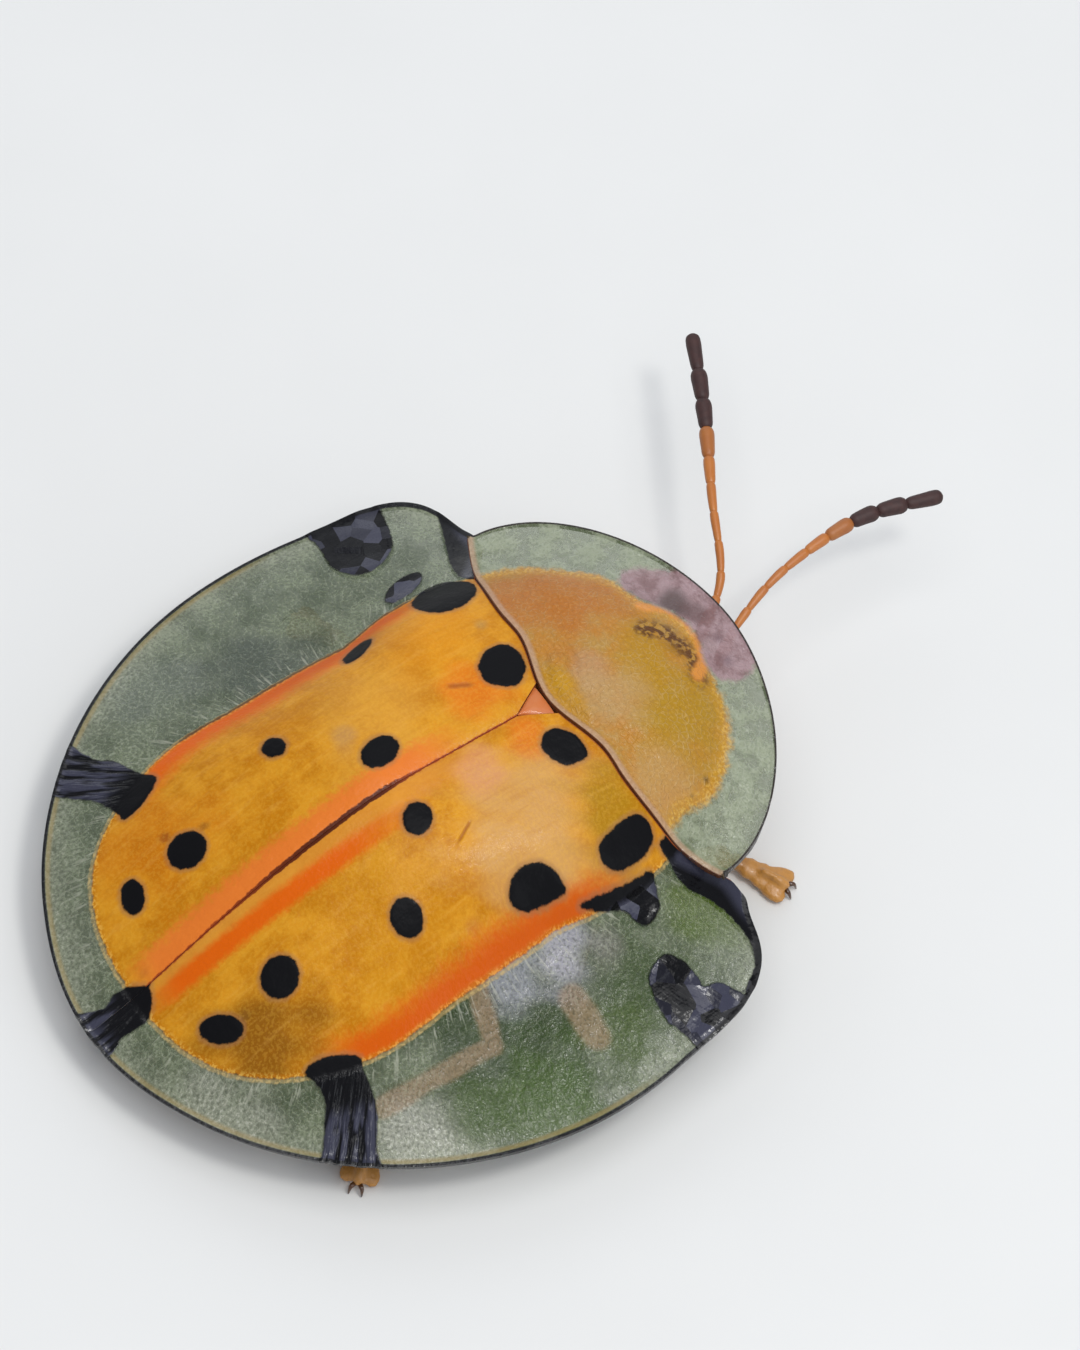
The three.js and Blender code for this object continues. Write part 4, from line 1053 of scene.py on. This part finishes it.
    # Relief: fine grain and creases on the disc, a net on the margin, long wrinkles in the bands
    relief = calc(tree, "MULTIPLY_ADD", grains, calc(tree, "MULTIPLY_ADD", blot, -0.34, 0.4), swell)
    relief = calc(tree, "MULTIPLY_ADD", brushed, 0.35, relief)
    relief = calc(tree, "MULTIPLY_ADD", crease, -0.8, relief)
    banded = times(tree, blot, between(tree, turn, 14, 8))
    wrinkled = times(tree, calc(tree, "MULTIPLY_ADD", banded, 3.6, 0.5), in_margin)
    relief = calc(tree, "MULTIPLY_ADD", folds, wrinkled, relief)
    planes = times(tree, crumpled, blot, 12.0)
    relief = calc(tree, "MULTIPLY_ADD", facets, planes, relief)
    smooth = calc(tree, "SUBTRACT", in_margin, blot)
    raised = calc(tree, "MAXIMUM", times(tree, smooth, 0.22), 0.0)
    relief = calc(tree, "MULTIPLY_ADD", veins, raised, relief)
    bump = add(tree, "ShaderNodeBump", {"Strength": 0.6, "Distance": 0.03 * MM, "Height": relief})
    tree.links.new(bump.outputs[0], surface.inputs["Normal"])
    tree.links.new(bump.outputs[0], surface.inputs["Coat Normal"])
    gloss = blend(tree, in_margin, blend(tree, blot, 0.4, 0.5), 0.24)
    gloss = blend(tree, line, calc(tree, "MULTIPLY_ADD", grains, 0.08, gloss), 0.55)
    tree.links.new(gloss, surface.inputs["Roughness"])
    polish = calc(tree, "MULTIPLY_ADD", blot, calc(tree, "MULTIPLY_ADD", slate_sheen, 0.35, -0.25), 0.45)
    polish = times(tree, polish, in_margin)
    polish = times(tree, polish, blend(tree, deep_green, 1.0, 0.6))
    polish = calc(tree, "ADD", polish, calc(tree, "MULTIPLY_ADD", blot, -0.1, 0.13))
    tree.links.new(polish, surface.inputs["Coat Weight"])
    surface.inputs["Specular IOR Level"].default_value = 0.1
    surface.inputs["Coat Roughness"].default_value = 0.15
    return finish


shell = shell_finish()
for side, node in ((1, "elytron_left"), (-1, "elytron_right")):
    life_size(wing_case(side, node + "_cover"), shell, "wing_case", node)

# SCUTELLUM
# A small pink shield, wedged between the bases of the wing cases and level with them. It is a
# grid drawn in to a point behind, a little domed, with a thick wall that fills the notch.
SHIELD_WALL = 0.3
shield, _, _ = grid_piece("scutellum_shield", 24, 24)


def shield_form(x, y, z):
    forward_share = (y + 1) / 2
    along = SHIELD["tip"] + forward_share * (SHIELD["base"] - SHIELD["tip"] - 0.02)
    half = (SHIELD["half"] - 0.008) * (forward_share + 0.02)
    across = x * half
    up = wing_top(across, along) + 0.015 - 0.04 * x ** 2 - 0.02 * y ** 2
    return across, TIP - along, up


reshape(shield, shield_form)
only(shield)
wall = shield.modifiers.new("wall", "SOLIDIFY")
wall.thickness = SHIELD_WALL
wall.offset = -1 if shield.data.polygons[0].normal.z > 0 else 1
bpy.ops.object.modifier_apply(modifier="wall")
pink, tree, surface = new_finish("shield_pink")
place = millimetres(tree)
tone = mix(tree, noise(tree, place, 4, 3), colour(0.56, 0.12, 0.018), colour(0.6, 0.21, 0.07))
tree.links.new(tone, surface.inputs["Base Color"])
bump = add(tree, "ShaderNodeBump", {"Strength": 0.5, "Distance": 0.02 * MM,
                                    "Height": noise(tree, place, 9, 3)})
tree.links.new(bump.outputs[0], surface.inputs["Normal"])
surface.inputs["Roughness"].default_value = 0.4
surface.inputs["Specular IOR Level"].default_value = 0.25
surface.inputs["Coat Weight"].default_value = 0.15
life_size(shield, pink, "shield", "scutellum")

# PRONOTUM
# The broad collar over the head: an amber dome, clear and glassy round its front, whose hind
# edge lies on the bases of the wing cases.
COLLAR = {"front": 10.6, "reach": 2.87, "hub": 9.9, "length": 3.57, "top": 2.8, "rim": 1.42,
          "rise": 0.104, "step": 0.4, "disc": 0.74, "full": 3.2}
AMBER_EDGE = [(-0.04, 12.65), (-0.74, 12.42), (-1.35, 12.32), (-1.99, 12.03), (-2.62, 11.4),
              (-2.78, 10.88), (-2.78, 10.45), (-3.0, 10.1), (-3.3, 9.7), (0.0, 8.8), (3.3, 9.7),
              (3.15, 10.15), (2.95, 10.7), (2.35, 11.35), (1.79, 11.93), (1.03, 12.12), (0.6, 12.5)]
# A brown swirl and an orange line in the amber, and the mauve head seen through the clear front
SWIRL = [(0.34, 11.75), (0.3, 11.97), (0.11, 12.12), (-0.15, 12.22), (-0.48, 12.26), (-0.8, 12.14)]
ORANGE_LINE = [(0.85, 12.04), (0.68, 12.45), (0.35, 12.66), (-0.08, 12.66), (-0.57, 12.43),
               (-0.8, 12.1)]
HEAD_SHOWS = [(1.8, 12.25), (1.65, 12.8), (1.0, 13.6), (0.1, 13.9), (-0.75, 13.7), (-1.1, 13.0),
              (-1.0, 12.55), (-0.56, 12.4), (-0.09, 12.62), (0.42, 12.58), (0.89, 12.25),
              (1.36, 12.02)]
# The line of the fold in the middle of the hind edge
POUCH = [(0.5, 9.98), (0.2, 9.84), (-0.15, 9.8), (-0.6, 9.92)]
# How high the collar lies on the wing cases, and how high its lips and folds stand up
COLLAR_LIFT = 0.03
HIND_LIP, FRONT_LIP, POUCH_LIFT, POUCH_GROOVE, FOLD_LIFT = 0.05, 0.03, 0.05, 0.03, 0.035
FRONT_WAVER, AMBER_WAVER = 0.012, 0.007
COLLAR_CLOUDS = [
    (-1.4, 11.3, 1.4, 0.85, (0.44, 0.245, 0.012)), (0.0, 11.5, 1.0, 0.8, (0.47, 0.245, 0.012)),
    (1.9, 10.8, 1.9, 0.85, (0.48, 0.155, 0.018)), (0.1, 10.4, 0.5, 0.7, (0.5, 0.27, 0.13)),
    (-0.6, 10.35, 0.9, 0.7, (0.52, 0.32, 0.13)), (-2.3, 10.35, 0.9, 0.7, (0.54, 0.3, 0.1)),
    (0.35, 9.75, 0.3, 0.8, (0.5, 0.25, 0.01)), (0.05, 9.72, 0.35, 0.9, (0.56, 0.28, 0.008)),
    (-0.3, 9.68, 0.34, 0.9, (0.52, 0.25, 0.008)), (-0.62, 9.72, 0.26, 0.8, (0.5, 0.24, 0.01)),
    (-0.12, 12.1, 0.4, 0.55, (0.25, 0.12, 0.01)), (-2.47, 11.17, 0.07, 0.9, (0.05, 0.03, 0.01)),
    (-2.6, 10.78, 0.05, 0.8, (0.05, 0.03, 0.01)), (-1.2, 9.75, 0.05, 0.8, (0.06, 0.03, 0.01)),
    (0.95, 12.15, 0.25, 0.5, (0.6, 0.12, 0.01)),
]
HEAD_CLOUDS = [
    (0.8, 12.7, 0.4, 0.85, (0.08, 0.045, 0.04)), (0.45, 12.95, 0.3, 0.7, (0.15, 0.08, 0.08)),
    (-0.66, 12.88, 0.25, 0.6, (0.14, 0.08, 0.1)), (-0.2, 13.0, 0.2, 0.4, (0.16, 0.09, 0.11)),
    (-0.3, 12.75, 0.3, 0.5, (0.5, 0.36, 0.36)),
]


def front_edge(across):
    """Front edge of the collar."""
    share = np.minimum(1, np.abs(across) / COLLAR_HALF)
    return COLLAR["front"] + COLLAR["reach"] * (1 - share ** 1.8) ** 0.55


def collar_top(across, along):
    """Height of the upper side of the collar, which settles on the wing cases behind."""
    share = np.hypot(across / COLLAR_HALF, np.maximum(0, along - COLLAR["hub"]) / COLLAR["length"])
    rim = RIM_UP + COLLAR["rim"] + COLLAR["rise"] * (along - COLLAR["front"])
    edge, top = rim + COLLAR["step"], RIM_UP + COLLAR["top"]
    dome = edge + (top - edge) * (1 - np.clip(share / COLLAR["disc"], 0, 1) ** COLLAR["full"])
    own = np.where(share < COLLAR["disc"], dome,
                   rim + COLLAR["step"] * np.maximum(0, (1 - share) / (1 - COLLAR["disc"])))
    corner = smooth_step(2.6, COLLAR_HALF, np.abs(across))
    near = (1 - smooth_step(0, 1.3, along - hind_edge(across))) * (1 - corner)
    return own + (wing_top(across, along) - own) * near


collar, side_share, forward_share = grid_piece("pronotum_shield", 210, 110)
collar_across = COLLAR_HALF * np.sin(np.pi * (side_share - 0.5))
hind, front = hind_edge(collar_across), front_edge(collar_across)
collar_along = hind + (front - hind) * forward_share
collar_up = np.zeros_like(collar_along)
for dx, dy in ((0, 0), (0.14, 0), (-0.14, 0), (0, 0.14), (0, -0.14)):
    collar_up += collar_top(collar_across + dx, np.maximum(hind, collar_along + dy)) / 5


def polyline_distance(across, along, line):
    """How far each place is from a line through points."""
    nearest = np.full(across.shape, FAR)
    places = np.stack([across, along], axis=1)
    for start, end in zip(line, line[1:]):
        nearest = np.minimum(nearest, distance_to_line(places, start, end)[0])
    return nearest


sweep = COLLAR_HALF * np.sin(np.linspace(-np.pi / 2, np.pi / 2, 90))
to_rim = polyline_distance(collar_across, collar_along, list(zip(sweep, front_edge(sweep))))
to_hind = polyline_distance(collar_across, collar_along, list(zip(sweep, hind_edge(sweep))))
amber = patch_depth(collar_across, collar_along, AMBER_EDGE)
swirl = polyline_distance(collar_across, collar_along, SWIRL)
collar_up += HIND_LIP * smooth_step(0.2, 0.05, to_hind) + COLLAR_LIFT
collar_up += FRONT_LIP * smooth_step(0.13, 0.03, to_rim)
# A fold lies along the middle of the hind edge, and another round the front of the amber
pouch = polyline_distance(collar_across, collar_along, POUCH)
collar_up += POUCH_LIFT * smooth_step(0.24, 0.06, pouch)
collar_up -= POUCH_GROOVE * np.exp(-((pouch - 0.27) / 0.07) ** 2)
front_fold = polyline_distance(collar_across, collar_along, ORANGE_LINE)
collar_up += FOLD_LIFT * smooth_step(0.2, 0.04, front_fold)
# The clear front and the amber are both a little uneven
clear_front = smooth_step(-0.05, -0.35, amber) * smooth_step(0.1, 0.3, to_rim)
unevenness = waver(1.7 * collar_across + 2, 1.7 * collar_along)
collar_up += FRONT_WAVER * unevenness * clear_front
unevenness = waver(1.9 * collar_along, 1.9 * collar_across)
collar_up += AMBER_WAVER * unevenness * smooth_step(0.1, 0.5, amber)
reshape(collar, lambda x, y, z: (collar_across, TIP - collar_along, collar_up))
attribute(collar, "rim", to_rim)
attribute(collar, "hind", to_hind)
attribute(collar, "amber", amber)
attribute(collar, "swirl", swirl)
attribute(collar, "orange", front_fold)
head_under = patch_depth(collar_across, collar_along, HEAD_SHOWS)
attribute(collar, "head", head_under)
over_head = head_under >= 0.03
paint_clouds(collar, collar_across, collar_along, (COLLAR_CLOUDS, (amber > -0.15) & ~over_head),
             (HEAD_CLOUDS, over_head))
walled(collar, WALL)


def collar_finish():
    """Crackled amber, a clear front with the head below it, and pale lips at the edges."""
    finish, tree, surface = new_finish("pronotum_amber")
    place = millimetres(tree)
    fray = calc(tree, "SUBTRACT", flat_noise(tree, place, 6, 4, 0.65), 0.5)
    depth = calc(tree, "MULTIPLY_ADD", fray, 0.28, painted(tree, "amber"))
    rim, hind = painted(tree, "rim"), painted(tree, "hind")
    mist, grains = flat_noise(tree, place, 1.8, 4, 0.68), flat_noise(tree, place, 16, 2, 0.6)
    # A crackled haze lies over the amber
    crackle = add(tree, "ShaderNodeTexVoronoi", {"Vector": place, "Scale": 9.0},
                  feature="DISTANCE_TO_EDGE", voronoi_dimensions="2D").outputs["Distance"]
    crackle = between(tree, calc(tree, "MULTIPLY_ADD", fray, 0.35, crackle), 0.14, 0.0)
    tone = mix(tree, between(tree, mist, 0.35, 0.65), colour(0.52, 0.225, 0.03),
               colour(0.47, 0.26, 0.055))
    tone = clouded(tree, tone)
    edge_gold = times(tree, between(tree, depth, 0.35, 0.06), 0.6)
    tone = mix(tree, edge_gold, tone, colour(0.58, 0.28, 0.012))
    hazy = times(tree, crackle, between(tree, mist, 0.42, 0.56))
    tone = mix(tree, times(tree, hazy, 0.22), tone, colour(0.66, 0.44, 0.2))
    tone = mix(tree, times(tree, between(tree, grains, 0.55, 0.7), 0.2), tone,
               colour(0.74, 0.48, 0.18))
    tone = mix(tree, times(tree, between(tree, grains, 0.42, 0.3), 0.25), tone,
               colour(0.3, 0.15, 0.03))
    crumbs = times(tree, between(tree, depth, 0.22, 0.05), between(tree, grains, 0.48, 0.6))
    tone = mix(tree, times(tree, crumbs, 0.6), tone, colour(0.8, 0.5, 0.1))
    swirl = calc(tree, "MULTIPLY_ADD", fray, 0.3, painted(tree, "swirl"))
    flecks = between(tree, flat_noise(tree, place, 8, 2), 0.38, 0.54)
    tone = mix(tree, times(tree, between(tree, swirl, 0.32, 0.06), flecks), tone,
               colour(0.13, 0.05, 0.012))
    orange = calc(tree, "MULTIPLY_ADD", fray, 0.12, painted(tree, "orange"))
    tone = mix(tree, times(tree, between(tree, orange, 0.17, 0.05), 0.95), tone,
               colour(0.74, 0.29, 0.05))
    clear = mix(tree, between(tree, mist, 0.36, 0.62), colour(0.15, 0.19, 0.09),
                colour(0.33, 0.37, 0.24))
    clear = mix(tree, times(tree, crackle, 0.35), clear, colour(0.5, 0.54, 0.4))
    clear = mix(tree, times(tree, between(tree, grains, 0.46, 0.32), 0.35), clear,
                colour(0.1, 0.13, 0.06))
    body = mix(tree, between(tree, depth, -0.1, 0.08), clear, tone)
    # The head under the clear front
    mauve = mix(tree, between(tree, mist, 0.36, 0.62), colour(0.25, 0.14, 0.14),
                colour(0.42, 0.28, 0.29))
    mauve = clouded(tree, mauve)
    shows = between(tree, calc(tree, "MULTIPLY_ADD", fray, 0.25, painted(tree, "head")), -0.05, 0.1)
    body = mix(tree, shows, body, mauve)
    lip = times(tree, between(tree, hind, 0.16, 0.07), 0.75)
    lip_tone = mix(tree, grains, colour(0.42, 0.24, 0.13), colour(0.62, 0.42, 0.3))
    body = mix(tree, lip, body, lip_tone)
    line = between(tree, rim, 0.045, 0.025)
    body = mix(tree, line, body, colour(0.02, 0.014, 0.01))
    body = mix(tree, between(tree, hind, 0.022, 0.01), body, colour(0.12, 0.035, 0.012))
    tree.links.new(body, surface.inputs["Base Color"])
    haze = calc(tree, "MULTIPLY_ADD", between(tree, mist, 0.36, 0.64), 0.2, 0.52)
    haze = blend(tree, between(tree, depth, -0.12, 0.15), haze, 0.88)
    haze = calc(tree, "MAXIMUM", haze, times(tree, shows, 0.8))
    haze = calc(tree, "MAXIMUM", haze, line)
    haze = calc(tree, "MAXIMUM", haze, times(tree, between(tree, hind, 0.5, 0.05), 0.85))
    tree.links.new(haze, surface.inputs["Alpha"])
    loose = calc(tree, "MULTIPLY_ADD", between(tree, depth, 0.1, -0.1), 2.6, 1.8)
    relief = calc(tree, "MULTIPLY_ADD", mist, loose, times(tree, grains, 0.35))
    relief = calc(tree, "MULTIPLY_ADD", crackle, 0.35, relief)
    bump = add(tree, "ShaderNodeBump", {"Strength": 0.65, "Distance": 0.03 * MM, "Height": relief})
    tree.links.new(bump.outputs[0], surface.inputs["Normal"])
    tree.links.new(bump.outputs[0], surface.inputs["Coat Normal"])
    tree.links.new(calc(tree, "MULTIPLY_ADD", grains, 0.1, 0.32), surface.inputs["Roughness"])
    polish = blend(tree, between(tree, depth, 0.1, -0.1), 0.2, 0.5)
    tree.links.new(polish, surface.inputs["Coat Weight"])
    surface.inputs["Specular IOR Level"].default_value = 0.15
    surface.inputs["Coat Roughness"].default_value = 0.15
    return finish


life_size(collar, collar_finish(), "collar", "pronotum")

# STAGE
# A plain pale floor of matt paper, four soft lights under a pale sky, and the camera at the
# photograph's view: where it stood was found from the outline and the marks of both sides.
bpy.ops.mesh.primitive_plane_add(size=2)
floor = bpy.context.object
floor.name = "floor"
paper, tree, surface = new_finish("paper")
unevenness = noise(tree, millimetres(tree), 0.2, 3)
tone = mix(tree, unevenness, colour(0.74, 0.74, 0.72), colour(0.78, 0.78, 0.76))
tree.links.new(tone, surface.inputs["Base Color"])
surface.inputs["Roughness"].default_value = 0.85
floor.data.materials.append(paper)

world = bpy.data.worlds.new("studio")
bpy.context.scene.world = world
world.use_nodes = True
sky = world.node_tree.nodes["Background"]
sky.inputs["Color"].default_value = colour(0.86, 0.9, 1.0)
sky.inputs["Strength"].default_value = 0.4


def soft_light(name, towards, distance, size, power, tint):
    """A round lamp that looks at the beetle, sizes in metres and power in watts."""
    bpy.ops.object.light_add(type="AREA")
    lamp = bpy.context.object
    lamp.name = name
    lamp.data.shape = "DISK"
    lamp.data.size = size
    lamp.data.energy = power
    lamp.data.color = tint
    away = Vector(towards).normalized()
    middle = spot(0, 7.5, 2) * MM
    lamp.location = middle + away * distance
    lamp.rotation_euler = away.to_track_quat("Z", "Y").to_euler()


soft_light("overhead", (-0.15, 0.0, 1.0), 0.12, 0.12, 0.08, (0.97, 0.98, 1.0))
soft_light("key", (-0.3, -0.12, 0.95), 0.15, 0.03, 0.055, (1.0, 0.99, 0.96))
soft_light("sky_side", (1.0, -0.5, 0.6), 0.12, 0.14, 0.035, (0.92, 0.96, 1.0))
soft_light("near_side", (-1.0, -0.3, 0.4), 0.1, 0.05, 0.012, (0.9, 0.95, 1.0))
bpy.context.scene.view_settings.view_transform = "Standard"

# The camera's turn round the beetle from behind its tail, its height and its roll, in degrees
CAMERA_TURN, CAMERA_RISE, CAMERA_ROLL = 47.867, 61.136, 9.123
# How far off it stands, and how many millimetres of the beetle the picture's height takes in
CAMERA_FAR = 161.74
FRAME_HEIGHT = 1350 / 57.326
# What it looks at: a place in the dome, then so far to the right of it and above it
DOME = spot(0, 6.82, 2.85)
AIM_RIGHT, AIM_ABOVE = 2.11, 2.24
turn, rise, roll = [math.radians(angle) for angle in (CAMERA_TURN, CAMERA_RISE, CAMERA_ROLL)]
back = Vector((-math.cos(rise) * math.sin(turn), math.cos(rise) * math.cos(turn), math.sin(rise)))
level = Vector((-math.cos(turn), -math.sin(turn), 0))
upright = back.cross(level)
right = level * math.cos(roll) + upright * math.sin(roll)
above = upright * math.cos(roll) - level * math.sin(roll)
aim = DOME + right * AIM_RIGHT + above * AIM_ABOVE
camera_data = bpy.data.cameras.new("camera")
camera = bpy.data.objects.new("camera", camera_data)
bpy.context.scene.collection.objects.link(camera)
camera.matrix_world = Matrix([
    [right.x, above.x, back.x, 0], [right.y, above.y, back.y, 0], [right.z, above.z, back.z, 0],
    [0, 0, 0, 1]])
camera.location = (aim + back * CAMERA_FAR) * MM
camera_data.lens = camera_data.sensor_width * CAMERA_FAR / FRAME_HEIGHT
camera_data.clip_start = 0.001
camera_data.clip_end = 10
bpy.context.scene.camera = camera
